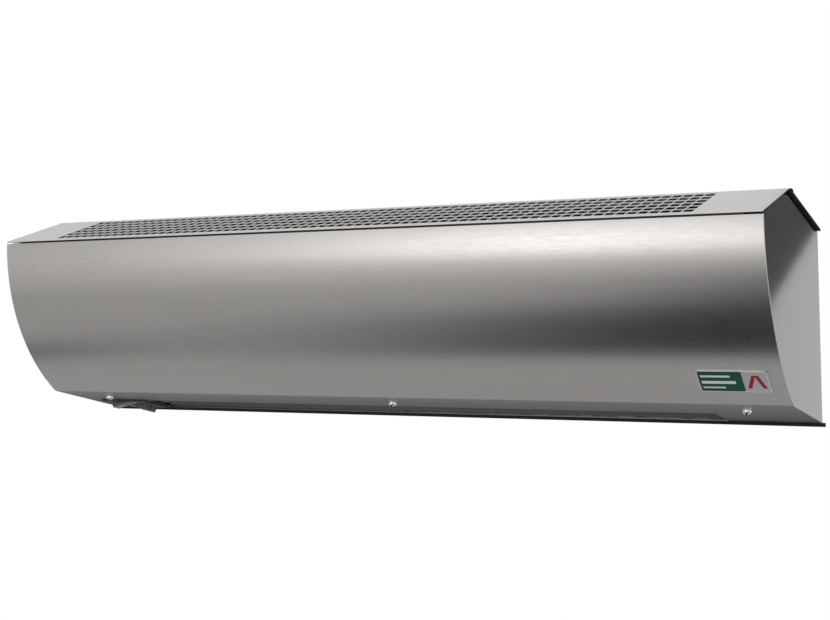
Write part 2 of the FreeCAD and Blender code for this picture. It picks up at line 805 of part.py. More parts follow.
def make_motor():
    can = rod("motor_barrel", "motor_diameter", "motor_length", (MOTOR_LEFT, FAN_Y, "fan_height"))
    boss = rod("motor_boss", "motor_diameter * 0.4", "bracket_gauge",
               (f"{MOTOR_LEFT} - bracket_gauge", FAN_Y, "fan_height"))
    bores = [rod("motor_bore", RUNNING_BORE, "motor_length",
                 (f"{MOTOR_LEFT} - bracket_gauge", FAN_Y, "fan_height"))]
    for index in range(MOTOR_SCREWS):
        y, z = around_axis(index, MOTOR_SCREWS, "grommet_circle / 2")
        bores.append(rod(f"motor_tapping_{index}", "screw_hole", "screw_length",
                         (f"{MOTOR_RIGHT} - screw_length", y, z)))
    finish(cut("motor_can", join("motor_solid", [can, boss]), bores), "motor_can")
    rings = []
    screws = []
    for index in range(MOTOR_SCREWS):
        y, z = around_axis(index, MOTOR_SCREWS, "grommet_circle / 2")
        outer = rod(f"grommet_{index}", "grommet_diameter", "grommet_thickness", (MOTOR_RIGHT, y, z))
        hole = rod(f"grommet_bore_{index}", "screw_hole", "grommet_thickness", (MOTOR_RIGHT, y, z))
        rings.append(cut(f"grommet_ring_{index}", outer, [hole]))
        head = rod(f"motor_screw_head_{index}", "screw_head", "screw_head_height",
                   (f"{BRACKET_LEFT} + bracket_gauge", y, z))
        shank = rod(f"motor_screw_shank_{index}", "screw_shank",
                    "grommet_thickness + bracket_gauge + screw_length * 0.7",
                    (f"{MOTOR_RIGHT} - screw_length * 0.7", y, z))
        screws.append(join(f"motor_screw_{index}", [head, shank]))
    finish(group("motor_grommets", rings), "motor_grommets")
    finish(group("motor_screws", screws), "motor_screws")


def make_bracket(label, start, foot_start, holes):
    """A plate across the housing with a foot against the back plate. Holes are (y, z, diameter)."""
    body = new_body(label)
    back = "(-plate_gauge)"
    low = "(fan_height - bracket_width / 2)"
    high = "(fan_height + bracket_width / 2)"
    front = f"({FAN_Y} - bracket_width / 2)"
    sketch = draw(body, "YZ_Plane", [rectangle(front, low, back, high)], "web")
    for y, z, diameter in holes:
        circle_loop(sketch, y, z, diameter)
    doc.recompute()
    pad_from(body, sketch, start, "bracket_gauge", "web_pad")
    foot = draw(body, "YZ_Plane", [rectangle(f"({back} - bracket_gauge)", low, back, high)], "foot")
    pad_from(body, foot, foot_start, "bracket_foot", "foot_pad")
    finish(body, label)


def make_brackets():
    holes = [(FAN_Y, "fan_height", "motor_diameter * 0.4")]
    for index in range(MOTOR_SCREWS):
        holes.append((*around_axis(index, MOTOR_SCREWS, "grommet_circle / 2"), "screw_hole"))
    make_bracket("motor_bracket", BRACKET_LEFT, f"{BRACKET_LEFT} + bracket_gauge", holes)
    plate = f"({BUSH_LEFT} + bush_length / 2 - bracket_gauge / 2)"
    make_bracket("bearing_bracket", plate, f"{plate} + bracket_gauge",
                 [(FAN_Y, "fan_height", "bearing_ring")])


def make_bearing():
    at = (BUSH_LEFT, FAN_Y, "fan_height")
    bush = rod("bush_outer", "bush_diameter", "bush_length", at)
    bore = rod("bush_bore", RUNNING_BORE, "bush_length", at)
    finish(cut("bearing_bush", bush, [bore]), "bearing_bush")
    body = new_body("bearing_grommet")
    ring_pad(body, "ring", f"{BUSH_LEFT} + bush_length / 2 - bracket_gauge / 2", "bracket_gauge",
             "bearing_ring", "bush_diameter")
    on_fan_axis(body)
    finish(body, "bearing_grommet")


def make_scroll_sheet():
    """The curved guide behind the drum, which runs down to the rear of the nozzle."""
    body = new_body("scroll_sheet")
    centre = ("arc", FAN_Y, "fan_height")
    outer = f"({SCROLL_RADIUS} + duct_gauge)"
    rear = f"({FAN_Y} + {SCROLL_RADIUS})"

    def start(radius):
        return f"({FAN_Y} + {radius} * cos(scroll_start))", f"(fan_height + {radius} * sin(scroll_start))"

    profile = [
        (rear, "duct_top"), (f"({rear} + duct_gauge)", "duct_top"),
        (f"({rear} + duct_gauge)", "fan_height"), centre, start(outer),
        start(SCROLL_RADIUS), centre, (rear, "fan_height"),
    ]
    pad(body, draw(body, "YZ_Plane", [profile], "profile"), OUTLET_LENGTH, "sheet")
    finish(body, "scroll_sheet")


def make_tongue_sheet():
    """The bent guide before the drum, which starts on the front of the nozzle."""
    body = new_body("tongue_sheet")
    level = "(fan_height - fan_diameter / 2 - scroll_clearance / 2)"
    bend = f"({FAN_Y} - fan_diameter * 0.2)"
    front = f"({FAN_Y} - fan_diameter * 0.55)"
    profile = [
        (f"({DUCT_FRONT} - duct_gauge)", "duct_top"), (DUCT_FRONT, "duct_top"), (bend, level),
        (front, f"({level} + duct_gauge)"), (front, level), (bend, f"({level} - duct_gauge)"),
    ]
    pad(body, draw(body, "YZ_Plane", [profile], "profile"), OUTLET_LENGTH, "sheet")
    finish(body, "tongue_sheet")


# Heater

DUCT_MIDDLE = f"(({DUCT_FRONT} + {DUCT_REAR}) / 2)"
TUBE_ROWS = (-1, 0, 1)


def make_heater():
    """Three tubes through a row of fins, carried by a plate at each end of the nozzle."""
    tubes = []
    for row in TUBE_ROWS:
        tubes.append(rod(f"tube_{row + 1}", "heater_tube", OUTLET_LENGTH,
                         (OUTLET_LEFT, f"({DUCT_MIDDLE} + {row} * heater_pitch)", "heater_height")))
    finish(group("heater_tubes", tubes), "heater_tubes")
    plates = []
    for side, start in (("left", OUTLET_LEFT), ("right", f"({OUTLET_RIGHT} - bracket_gauge)")):
        plate = box(f"end_plate_{side}", ("bracket_gauge", "fin_width", "fin_height"),
                    (start, f"({DUCT_MIDDLE} - fin_width / 2)", "(heater_height - fin_height / 2)"))
        holes = []
        for row in TUBE_ROWS:
            holes.append(rod(f"end_hole_{side}_{row + 1}", "heater_tube + 2 * fin_fit", "bracket_gauge",
                             (start, f"({DUCT_MIDDLE} + {row} * heater_pitch)", "heater_height")))
        plates.append(cut(f"end_plate_{side}_cut", plate, holes))
    finish(group("heater_end_plates", plates), "heater_end_plates")


def make_heater_fins():
    """Equal holed plates along the tubes."""
    half_width = number("fin_width") / 2
    half_height = number("fin_height") / 2
    corners = [V(0, y, z) for y, z in ((-half_width, -half_height), (half_width, -half_height),
                                       (half_width, half_height), (-half_width, half_height))]
    wires = [Part.makePolygon(corners + corners[:1])]
    for row in TUBE_ROWS:
        bore = Part.Circle(V(0, row * number("heater_pitch"), 0), V(1, 0, 0),
                           number("heater_tube / 2 + fin_fit"))
        wires.append(Part.Wire(bore.toShape()))
    gauge = number("fin_gauge")
    fin = Part.makeFace(wires, "Part::FaceMakerBullseye").extrude(V(gauge, 0, 0))
    count = int(number("fin_count"))
    spacing = number(OUTLET_LENGTH) / (count + 1)
    fins = []
    for index in range(count):
        copy = fin.copy()
        copy.translate(V(number(OUTLET_LEFT) + spacing * (index + 1), number(DUCT_MIDDLE), 0))
        fins.append(copy)
    made = doc.addObject("Part::Feature", "heater_fins")
    made.Shape = Part.makeCompound(fins)
    height_of[made.Name] = "heater_height"
    finish(made, "heater_fins")


def make_thermal_cutout():
    at = ("cutout_offset", f"({DUCT_FRONT} - duct_gauge - cutout_height)", "heater_height")
    can = rod("cutout_can", "cutout_diameter", "cutout_height", at, "y")
    ears = box("cutout_ears", ("cutout_diameter * 1.7", "duct_gauge", "cutout_diameter * 0.5"),
               ("cutout_offset - cutout_diameter * 0.85", f"({DUCT_FRONT} - 2 * duct_gauge)",
                "heater_height - cutout_diameter * 0.25"))
    finish(join("thermal_cutout", [can, ears]), "thermal_cutout")


# Controls

KEYS = ("rocker_fan", "rocker_heat_low", "rocker_heat_high")


def key_row(index):
    return f"({index - 1} * key_pitch)"


def make_switch_bezel():
    """The flange on the lip, with one opening for each key."""
    body = new_body("switch_bezel")
    half_length = "(bezel_length / 2)"
    half_width = "(bezel_width / 2)"
    loops = [rectangle(f"-{half_length}", f"-{half_width}", half_length, half_width)]
    for index in range(len(KEYS)):
        loops.append(key_opening(index))
    sketch = draw(body, "XY_Plane", loops, "frame")
    pad_from(body, sketch, "-bezel_gauge", "bezel_gauge", "frame_pad")
    lay_on_lip(body, BEZEL_X, "bezel_from_bend")
    finish(body, "switch_bezel")


def key_opening(index):
    half_length = "(key_length / 2 + key_clearance)"
    half_width = "(key_width / 2 + key_clearance)"
    row = key_row(index)
    return rectangle(f"-{half_length}", f"({row} - {half_width})", half_length, f"({row} + {half_width})")


def make_switch_body():
    """The block behind the bezel, with a cavity for each key and a bore for their axle."""
    body = new_body("switch_body")
    half_length = "(bezel_length / 2 - bezel_margin - seat_gap)"
    half_width = "(bezel_width / 2 - bezel_margin - seat_gap)"
    block = rectangle(f"-{half_length}", f"-{half_width}", half_length, half_width)
    openings = [key_opening(index) for index in range(len(KEYS))]
    walls = draw(body, "XY_Plane", [block] + openings, "walls")
    pad_from(body, walls, "0", "key_cavity", "walls_pad")
    base = draw(body, "XY_Plane", [block], "base")
    pad_from(body, base, "key_cavity", "switch_depth - key_cavity", "base_pad")
    axle = draw(body, "XZ_Plane", [], "axle")
    circle_loop(axle, "0", "key_pivot_depth", "pin_diameter + 2 * pin_clearance")
    doc.recompute()
    pocket_through(body, axle, "axle_pocket")
    lay_on_lip(body, BEZEL_X, "bezel_from_bend")
    finish(body, "switch_body")


def make_rocker_axle():
    half = "(bezel_width / 2 - bezel_margin - seat_gap)"
    y, z = lip_at(f"bezel_from_bend - {half}", "key_pivot_depth")
    made = doc.addObject("Part::Cylinder", "rocker_axle")
    made.setExpression("Radius", size("pin_diameter / 2"))
    made.setExpression("Height", size(f"2 * {half}"))
    made.Placement.Rotation = FreeCAD.Rotation(V(-1, 0, 0), 100)
    made.setExpression("Placement.Rotation.Angle", size("90 + lip_angle"))
    put(made, (BEZEL_X, y, z))
    finish(made, "rocker_axle")


def make_key(index, lean):
    """A key with a dished face and ends rounded about its pivot, drawn in its present tilt."""
    body = new_body(KEYS[index])
    reach = "(key_length / 2)"
    tip = f"sqrt({reach}^2 - key_end_height^2)"
    heel = f"sqrt({reach}^2 - key_skirt^2)"

    def at(across, out):
        turn = f"({lean} * key_tilt)"
        return (f"(({across}) * cos{turn} - ({out}) * sin{turn})",
                f"(key_pivot_depth - ({across}) * sin{turn} - ({out}) * cos{turn})")

    pivot = ("arc", "0", "key_pivot_depth")
    outline = [
        at(f"-{tip}", "key_end_height"), at("0", "key_end_height - key_dip"), at(tip, "key_end_height"),
        pivot, at(heel, "-key_skirt"), at(f"-{heel}", "-key_skirt"), pivot,
    ]
    sketch = draw(body, "XZ_Plane", [outline], "outline")
    circle_loop(sketch, "0", "key_pivot_depth", "pin_diameter + 2 * pin_clearance")
    sketch.setExpression("AttachmentOffset.Base.z", size(f"-({key_row(index)})"))
    doc.recompute()
    pad(body, sketch, "key_width", "key_pad")
    lay_on_lip(body, BEZEL_X, "bezel_from_bend")
    finish(body, KEYS[index])


# Terminals and leads

def make_terminals():
    """The terminal block on the back plate, a screw in each way, and the gland below."""
    back = "(-plate_gauge - terminal_depth)"
    left = f"({TERMINAL_X} - terminal_length / 2)"
    low = "(terminal_level - terminal_height / 2)"
    block = box("terminal_blank", ("terminal_length", "terminal_depth", "terminal_height"),
                (left, back, low))
    bores = []
    screws = []
    pitch = "(terminal_length / terminal_ways)"
    head_y = f"({back} + terminal_depth * 0.15)"
    for way in range(int(number("terminal_ways"))):
        across = f"({left} + ({way} + 0.5) * {pitch})"
        bores.append(rod(f"way_{way}", "terminal_bore", "terminal_height",
                         (across, f"({back} + terminal_depth * 0.62)", low), "z"))
        bores.append(rod(f"well_{way}", "terminal_screw + 4 * seat_gap", "terminal_depth * 0.3",
                         (across, back, "terminal_level"), "y"))
        head = rod(f"terminal_head_{way}", "terminal_screw", "terminal_depth * 0.15",
                   (across, head_y, "terminal_level"), "y")
        slot = box(f"terminal_slot_{way}", ("terminal_screw", "terminal_depth * 0.05", "recess_width"),
                   (f"({across} - terminal_screw / 2)", head_y, "(terminal_level - recess_width / 2)"))
        screws.append(cut(f"terminal_screw_{way}", head, [slot]))
    finish(cut("terminal_block", block, bores), "terminal_block")
    finish(group("terminal_screws", screws), "terminal_screws")


def make_cable_gland():
    """A rubber grommet in the back plate that the supply cable passes through."""
    neck = rod("gland_neck", "gland_hole", "plate_gauge", (GLAND_X, "-plate_gauge", "gland_height"), "y")
    inner = (GLAND_X, "-gland_length", "gland_height")
    flange = rod("gland_flange_ring", "gland_flange", "gland_length - plate_gauge", inner, "y")
    bore = rod("gland_passage", "gland_bore", "gland_length", inner, "y")
    finish(cut("cable_gland", join("gland_solid", [neck, flange]), [bore]), "cable_gland")


def make_wiring_loom():
    """Leads from the terminals to the switches and, behind the scroll, to the motor."""
    diameter = number("lead_diameter")
    pitch = number("terminal_length / terminal_ways")
    left = number(f"{TERMINAL_X} - terminal_length / 2")
    lead_y = number("-plate_gauge - terminal_depth * 0.38")
    low = number("terminal_level - terminal_height / 2")
    switch_y, switch_z = [number(text) for text in lip_at("bezel_from_bend", "switch_depth + seat_gap * 2")]
    mid = (low + switch_z) / 2
    leads = []
    for way in (3, 4):
        across = left + (way + 0.5) * pitch
        points = [(across, lead_y, low + diameter), (across, lead_y, mid),
                  (across, switch_y, mid - diameter * 4), (across, switch_y, switch_z)]
        leads.append(sweep_lead(f"switch_lead_{way}", points, diameter))
    across = left + 4.5 * pitch
    over = number("fan_height + bracket_width / 2 + lead_diameter * 1.5")
    axis_y = number(FAN_Y)
    beyond = number(f"{BRACKET_LEFT} + bracket_gauge + motor_gap")
    points = [(across, lead_y, low + number("terminal_height") - diameter), (across, lead_y, over),
              (beyond, lead_y, over), (beyond, axis_y, over), (beyond, axis_y, number("fan_height")),
              (number(f"{MOTOR_RIGHT} + seat_gap"), axis_y, number("fan_height"))]
    leads.append(sweep_lead("motor_lead", points, diameter))
    finish(group("wiring_loom", leads), "wiring_loom")


def make_all():
    make_back_plate()
    make_front_cover()
    make_intake_panel()
    make_end_cap("end_cap_left", "-length / 2 + cap_recess", "-length / 2 + cap_recess + cap_gauge")
    make_end_cap("end_cap_right", "length / 2 - cap_recess - cap_gauge",
                 "length / 2 - cap_recess - cap_gauge - rim_depth")
    make_cover_screws()
    make_outlet_frame()
    make_vane("outlet_vane_upper", 0.45)
    make_vane("outlet_vane_lower", 0.82)
    make_fan_impeller()
    make_end_disc("fan_end_disc_left", FAN_LEFT, f"{FAN_LEFT} + disc_gauge")
    make_end_disc("fan_end_disc_right", f"{FAN_RIGHT} - disc_gauge",
                  f"{FAN_RIGHT} - disc_gauge - hub_length")
    make_shafts()
    make_motor()
    make_brackets()
    make_bearing()
    make_scroll_sheet()
    make_tongue_sheet()
    make_heater()
    make_heater_fins()
    make_thermal_cutout()
    make_switch_bezel()
    make_switch_body()
    make_rocker_axle()
    for index, lean in enumerate((-1, 1, 1)):
        make_key(index, lean)
    make_terminals()
    make_cable_gland()
    make_wiring_loom()


def export_all():
    """Checks every object and writes one STEP file for each sub-part."""
    doc.recompute()
    for made in doc.Objects:
        if "Invalid" in made.State or "Error" in made.State:
            raise RuntimeError(f"{made.Name} failed to build")
    os.makedirs("parts", exist_ok=True)
    for made in finished:
        shape = made.Shape
        if shape.isNull() or not shape.isValid():
            raise RuntimeError(f"{made.Label} has no valid shape")
        shape.exportStep(f"parts/{made.Label}.step")


make_all()
export_all()
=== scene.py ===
"""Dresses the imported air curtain: brushed sheets, black paint, plastic, a badge and a plain studio."""
import math

import bmesh
import bpy
from bpy.props import FloatProperty, FloatVectorProperty, IntProperty, PointerProperty
from mathutils import Matrix, Vector


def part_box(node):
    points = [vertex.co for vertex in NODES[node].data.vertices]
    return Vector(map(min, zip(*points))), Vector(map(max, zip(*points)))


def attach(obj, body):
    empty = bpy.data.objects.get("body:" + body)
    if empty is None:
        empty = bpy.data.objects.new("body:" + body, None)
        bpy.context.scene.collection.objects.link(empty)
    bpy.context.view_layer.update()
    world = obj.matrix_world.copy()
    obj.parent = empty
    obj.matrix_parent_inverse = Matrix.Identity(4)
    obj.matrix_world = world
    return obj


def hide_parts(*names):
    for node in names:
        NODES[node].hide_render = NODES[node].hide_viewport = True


bl_info = {
    "name": "Air curtain dressing",
    "version": (1, 0, 0),
    "blender": (4, 5, 0),
    "location": "View3D > Sidebar > Air curtain",
    "description": "Gives a packed air curtain its finishes, badge, key marks and studio",
    "category": "Object",
}

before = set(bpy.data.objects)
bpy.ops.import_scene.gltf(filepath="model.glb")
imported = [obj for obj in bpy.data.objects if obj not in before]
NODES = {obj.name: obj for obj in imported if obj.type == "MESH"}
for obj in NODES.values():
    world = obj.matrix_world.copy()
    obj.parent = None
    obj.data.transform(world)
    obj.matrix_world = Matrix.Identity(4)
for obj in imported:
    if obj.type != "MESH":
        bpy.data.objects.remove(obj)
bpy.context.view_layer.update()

# The curved front is an arc about an axis along X.
FRONT_RADIUS = 0.1973
FRONT_AXIS_Y = 0.0093
FRONT_AXIS_Z = 0.075
FRONT_BEND = math.radians(53.7)

# The intake panel rises from the front edge, and the lip falls towards the wall.
PANEL_EDGE = Vector((0.0, -0.188, 0.075))
PANEL_RISE = math.atan(25.5 / 84.0)
LIP_FALL = math.radians(11.05)
HOUSING_FOOT = -0.105
HOUSING_END = 0.405
LIP_OUT = Vector((0.0, -math.sin(LIP_FALL), -math.cos(LIP_FALL)))

# The photograph's frame, in its own pixels, and the camera's place and turn for that view.
PHOTO_WIDTH = 830
FRAME_DROP = 120
CAMERA_PLACE = (0.738, -1.393, -0.030)
CAMERA_TURN = (math.radians(95.7), 0.0, math.radians(28.41))

# A soft seal fills the gap under the rear flange of each end cap: its size, and its place at the right.
SEAL_SPAN = (0.0164, 0.0011, 0.0018)
SEAL_PLACE = Vector((0.3981, -0.00085, -0.1042))

KEYS = ("rocker_fan", "rocker_heat_low", "rocker_heat_high")

# Grey levels of a studio card and of the painted shade in a joint
BLACK_CLOTH = 0.012
BLACK_PAINTED_SHADE = 0.012


# Settings


def colour_property(label, about, default):
    """A colour that a user may change."""
    return FloatVectorProperty(
        name=label, description=about, subtype="COLOR", size=3, min=0.0, max=1.0, default=default
    )


def length_property(label, about, default):
    """A length in metres."""
    return FloatProperty(
        name=label, description=about, subtype="DISTANCE", unit="LENGTH", default=default
    )


def angle_property(label, about, degrees):
    """An angle, given in degrees."""
    return FloatProperty(name=label, description=about, subtype="ANGLE", default=math.radians(degrees))


def plain_property(label, about, default, least):
    """A number with a least value."""
    return FloatProperty(name=label, description=about, default=default, min=least)


class SheetFinish(bpy.types.PropertyGroup):
    """The brushed sheets of the housing"""

    pale: colour_property("Pale grain", "Steel between the brush lines", (0.485, 0.468, 0.455))
    dark: colour_property("Dark grain", "Steel in the brush lines", (0.385, 0.372, 0.361))
    roughness: FloatProperty(
        name="Roughness", description="Mean roughness of the sheets", default=0.3, min=0.05, max=1.0
    )
    lines: plain_property("Lines", "Brush lines in a metre across the grain", 900.0, 10.0)
    pebbles: plain_property("Pebbles", "Small patches of the satin finish in a metre", 520.0, 10.0)


class TrimSizes(bpy.types.PropertyGroup):
    """The screws in the lip and the rolled edges of the front"""

    head: length_property("Head", "Radius of a screw head", 0.0042)
    crown: length_property("Crown", "Height of a screw head", 0.0044)
    recess: length_property("Recess", "Depth of the cross in a screw head", 0.0014)
    setback: length_property("Setback", "Distance from the wall to the screws", 0.0742)
    inset: length_property("Inset", "Distance from the ends to the outer screws", 0.049)
    bead: length_property("Bead", "Radius of the rolled edge at each end of the front", 0.0007)


class KeySizes(bpy.types.PropertyGroup):
    """The edges of the keys, and the printed bar and ring on each"""

    height: length_property("Height", "Length of the bar and width of the ring", 0.0046)
    stroke: length_property("Stroke", "Width of the printed line", 0.0008)
    ink: length_property("Ink", "Thickness of the print", 0.0001)
    edge: length_property("Edge", "Width of the rounded edges of the keys", 0.0006)
    segments: IntProperty(name="Segments", description="Steps along a rounded edge", default=3, min=1)


class BadgeSizes(bpy.types.PropertyGroup):
    """The badge on the curved front"""

    left: length_property("Left", "Left edge of the badge", 0.3305)
    right: length_property("Right", "Right edge of the badge", 0.392)
    split: length_property("Split", "Where the green field ends", 0.3697)
    top: angle_property("Top", "Turn from the top of the front to the upper edge", 40.95)
    bottom: angle_property("Bottom", "Turn from the top of the front to the lower edge", 48.2)
    thickness: length_property("Thickness", "How far the rim stands off the front", 0.0008)
    corner: length_property("Corner", "Radius of the corners", 0.0022)
    rim: length_property("Rim", "Width of the bright rim", 0.0009)
    film: length_property("Film", "Thickness of the two fields", 0.00015)
    green: colour_property("Green", "The wide field", (0.004, 0.062, 0.036))
    silver: colour_property("Silver", "The narrow field", (0.50, 0.49, 0.52))
    red: colour_property("Red", "The mark on the narrow field", (0.30, 0.008, 0.02))


class StudioSizes(bpy.types.PropertyGroup):
    """The floor, the lamps and the camera"""

    floor_drop: length_property("Floor", "Height of the floor below the origin", 0.85)
    floor_reach: length_property("Floor reach", "From the middle of the floor to its edges", 2.0)
    floor_colour: colour_property("Floor colour", "Paint of the floor", (0.72, 0.715, 0.71))
    floor_seen: colour_property("Floor as seen", "Floor to the eye and in gloss", (0.86, 0.858, 0.855))
    focal: plain_property("Focal length", "Lens of the camera in mm", 65.75, 1.0)


# Materials


def node(tree, kind, **inputs):
    """A shader node with plain values set on its sockets."""
    made = tree.nodes.new(kind)
    for name, value in inputs.items():
        made.inputs[name.replace("_", " ")].default_value = value
    return made


def group_with(name, inputs, outputs):
    """An empty shader group with value and vector sockets."""
    group = bpy.data.node_groups.new(name, "ShaderNodeTree")
    for label, kind, default in inputs:
        socket = group.interface.new_socket(label, in_out="INPUT", socket_type=kind)
        if default is not None:
            socket.default_value = default
    for label, kind in outputs:
        group.interface.new_socket(label, in_out="OUTPUT", socket_type=kind)
    return group, group.nodes.new("NodeGroupInput"), group.nodes.new("NodeGroupOutput")


def vector_math(tree, operation, vector, other=None, output="Vector"):
    """A vector worked on by itself or with a fixed one."""
    made = tree.nodes.new("ShaderNodeVectorMath")
    made.operation = operation
    tree.links.new(vector, made.inputs[0])
    if other is not None:
        made.inputs[1].default_value = other
    return made.outputs[output]


def value_math(tree, operation, first, second):
    """Two values put together, of which the second may be a plain number."""
    made = tree.nodes.new("ShaderNodeMath")
    made.operation = operation
    tree.links.new(first, made.inputs[0])
    if isinstance(second, float):
        made.inputs[1].default_value = second
    else:
        tree.links.new(second, made.inputs[1])
    return made.outputs[0]


def ramp(tree, value, start, end, low=0.0, high=1.0):
    """A Map Range node that climbs from low to high while a value goes from start to end."""
    made = node(tree, "ShaderNodeMapRange", From_Min=start, From_Max=end, To_Min=low, To_Max=high)
    tree.links.new(value, made.inputs["Value"])
    return made


def object_place(tree):
    """The material's own place on the part."""
    return next(item for item in tree.nodes if item.type == "TEX_COORD").outputs["Object"]


def along_axis(tree, vector, axis):
    """One coordinate of a vector."""
    axes = tree.nodes.new("ShaderNodeSeparateXYZ")
    tree.links.new(vector, axes.inputs[0])
    return axes.outputs[axis]


def brushed_grain():
    """Long fine lines along X, broken up along their length."""
    group, ins, outs = group_with(
        "Brushed grain",
        [("Vector", "NodeSocketVector", None), ("Lines", "NodeSocketFloat", 900.0)],
        [("Streak", "NodeSocketFloat"), ("Fine", "NodeSocketFloat")],
    )
    for output, along, share in (("Streak", 0.03, 0.35), ("Fine", 0.08, 1.0)):
        stretch = vector_math(group, "MULTIPLY", ins.outputs["Vector"], (along, 1.0, 1.0))
        noise = node(group, "ShaderNodeTexNoise", Detail=3.0, Roughness=0.6)
        count = value_math(group, "MULTIPLY", ins.outputs["Lines"], share)
        group.links.new(count, noise.inputs["Scale"])
        group.links.new(stretch, noise.inputs["Vector"])
        group.links.new(noise.outputs["Fac"], outs.inputs[output])
    return group


def soft_mottle():
    """Wide, faint patches, as handling and rolling leave on a surface."""
    group, ins, outs = group_with(
        "Soft mottle",
        [("Vector", "NodeSocketVector", None), ("Scale", "NodeSocketFloat", 14.0)],
        [("Patch", "NodeSocketFloat")],
    )
    noise = node(group, "ShaderNodeTexNoise", Detail=4.0, Roughness=0.55, Distortion=0.4)
    group.links.new(ins.outputs["Scale"], noise.inputs["Scale"])
    group.links.new(ins.outputs["Vector"], noise.inputs["Vector"])
    group.links.new(noise.outputs["Fac"], outs.inputs["Patch"])
    return group


def fine_texture():
    """The small pits of moulded plastic, rubber and powder coat."""
    group, ins, outs = group_with(
        "Fine texture",
        [("Vector", "NodeSocketVector", None), ("Scale", "NodeSocketFloat", 1400.0)],
        [("Height", "NodeSocketFloat"), ("Patch", "NodeSocketFloat")],
    )
    pits = node(group, "ShaderNodeTexVoronoi")
    cloud = node(group, "ShaderNodeTexNoise", Scale=60.0, Detail=3.0)
    group.links.new(ins.outputs["Scale"], pits.inputs["Scale"])
    for texture in (pits, cloud):
        group.links.new(ins.outputs["Vector"], texture.inputs["Vector"])
    group.links.new(pits.outputs["Distance"], outs.inputs["Height"])
    group.links.new(cloud.outputs["Fac"], outs.inputs["Patch"])
    return group


def shared(name):
    """The shared shader group of that name, built on first use."""
    makers = {"Brushed grain": brushed_grain, "Soft mottle": soft_mottle, "Fine texture": fine_texture}
    return bpy.data.node_groups.get(name) or makers[name]()


def place_group(tree, name, coordinates, **inputs):
    """A shared group in a material, with its own values."""
    made = tree.nodes.new("ShaderNodeGroup")
    made.node_tree = shared(name)
    tree.links.new(coordinates, made.inputs["Vector"])
    for label, value in inputs.items():
        made.inputs[label].default_value = value
    return made


def start_material(name, **sockets):
    """A material with one Principled shader and its plain values."""
    material = bpy.data.materials.new(name)
    material.use_nodes = True
    tree = material.node_tree
    shader = tree.nodes["Principled BSDF"]
    for label, value in sockets.items():
        shader.inputs[label.replace("_", " ")].default_value = value
    place = tree.nodes.new("ShaderNodeTexCoord")
    return material, tree, shader, place.outputs["Object"]


def mix_colours(tree, factor, first, second, shader):
    """Shades the colour from first to second, where None stands for the colour so far."""
    mix = tree.nodes.new("ShaderNodeMix")
    mix.data_type = "RGBA"
    for socket, colour in (("A", first), ("B", second)):
        if colour is None:
            tree.links.new(shader.inputs["Base Color"].links[0].from_socket, mix.inputs[socket])
        else:
            mix.inputs[socket].default_value = (*colour, 1.0)
    tree.links.new(factor, mix.inputs["Factor"])
    tree.links.new(mix.outputs["Result"], shader.inputs["Base Color"])


def spread_roughness(tree, factor, low, high, shader):
    """Spreads the roughness over the middle of a noise, where most of its values lie."""
    spread = ramp(tree, factor, 0.3, 0.7, low, high)
    tree.links.new(spread.outputs["Result"], shader.inputs["Roughness"])


def add_bump(tree, height, strength, distance, shader):
    """Raises the surface a little where a height is large."""
    bump = node(tree, "ShaderNodeBump", Strength=strength, Distance=distance)
    tree.links.new(height, bump.inputs["Height"])
    tree.links.new(bump.outputs["Normal"], shader.inputs["Normal"])


def paint_shade_by(tree, measure, shaded_at, unshaded_at, shader, tone=BLACK_PAINTED_SHADE):
    """Paints shade on a sheet: darkens it from an unshaded place to a shaded one and past it, as shade
    falls in a joint.
    """
    unshaded = ramp(tree, measure, shaded_at, unshaded_at)
    mix_colours(tree, unshaded.outputs["Result"], [tone] * 3, None, shader)


def finish_panel(material):
    """Bares the cut walls of the panel's holes and paints shade on all that lies below its sheet."""
    tree = material.node_tree
    shader = tree.nodes["Principled BSDF"]
    outwards = (0.0, -math.sin(PANEL_RISE), math.cos(PANEL_RISE))
    way = vector_math(tree, "SUBTRACT", object_place(tree), PANEL_EDGE)
    height = vector_math(tree, "DOT_PRODUCT", way, outwards, "Value")
    face_level = -0.00003
    wall_level = -0.0001
    wall_metal = 0.25
    polished = ramp(tree, height, wall_level, face_level, low=wall_metal).outputs["Result"]
    tree.links.new(polished, shader.inputs["Metallic"])
    cut_steel = (0.86, 0.85, 0.84)
    mix_colours(tree, polished, cut_steel, None, shader)
    # Painted shade: the folds under the sheet, such as the front fold in the gap below the panel's nose,
    # are darkened.
    under_sheet = -0.00063
    foot_of_wall = -0.00060
    paint_shade_by(tree, height, under_sheet, foot_of_wall, shader)


def paint_cap_joint_shade(material):
    """Paints shade on an end cap along the edge of the curved front and at its lowest corner."""
    tree = material.node_tree
    shader = tree.nodes["Principled BSDF"]
    place = object_place(tree)
    way = vector_math(tree, "SUBTRACT", place, (0.0, FRONT_AXIS_Y, FRONT_AXIS_Z))
    across = vector_math(tree, "MULTIPLY", way, (0.0, 1.0, 1.0))
    radius = vector_math(tree, "LENGTH", across, output="Value")
    # Painted shade: a dark line on the cap beside the front's edge.
    joint = FRONT_RADIUS - 0.0022
    shade_width = 0.0022
    paint_shade_by(tree, radius, joint, joint - shade_width, shader)
    # Painted shade: a dark band along the cap's lowest edge.
    corner_shaded = HOUSING_FOOT + 0.0022
    corner_unshaded = HOUSING_FOOT + 0.0028
    paint_shade_by(tree, along_axis(tree, place, "Z"), corner_shaded, corner_unshaded, shader)


def weighed_sum(tree, *parts):
    """Two values added up, each by its share."""
    first, second = [value_math(tree, "MULTIPLY", source, share) for source, share in parts]
    return value_math(tree, "ADD", first, second)


def paint_lip_shade(material):
    """Paints shade on the lip, darker little by little from its bend to the wall."""
    tree = material.node_tree
    run = along_axis(tree, object_place(tree), "Y")
    near_wall = -0.012
    near_bend = -0.104
    paint_shade_by(tree, run, near_wall, near_bend, tree.nodes["Principled BSDF"], tone=0.065)


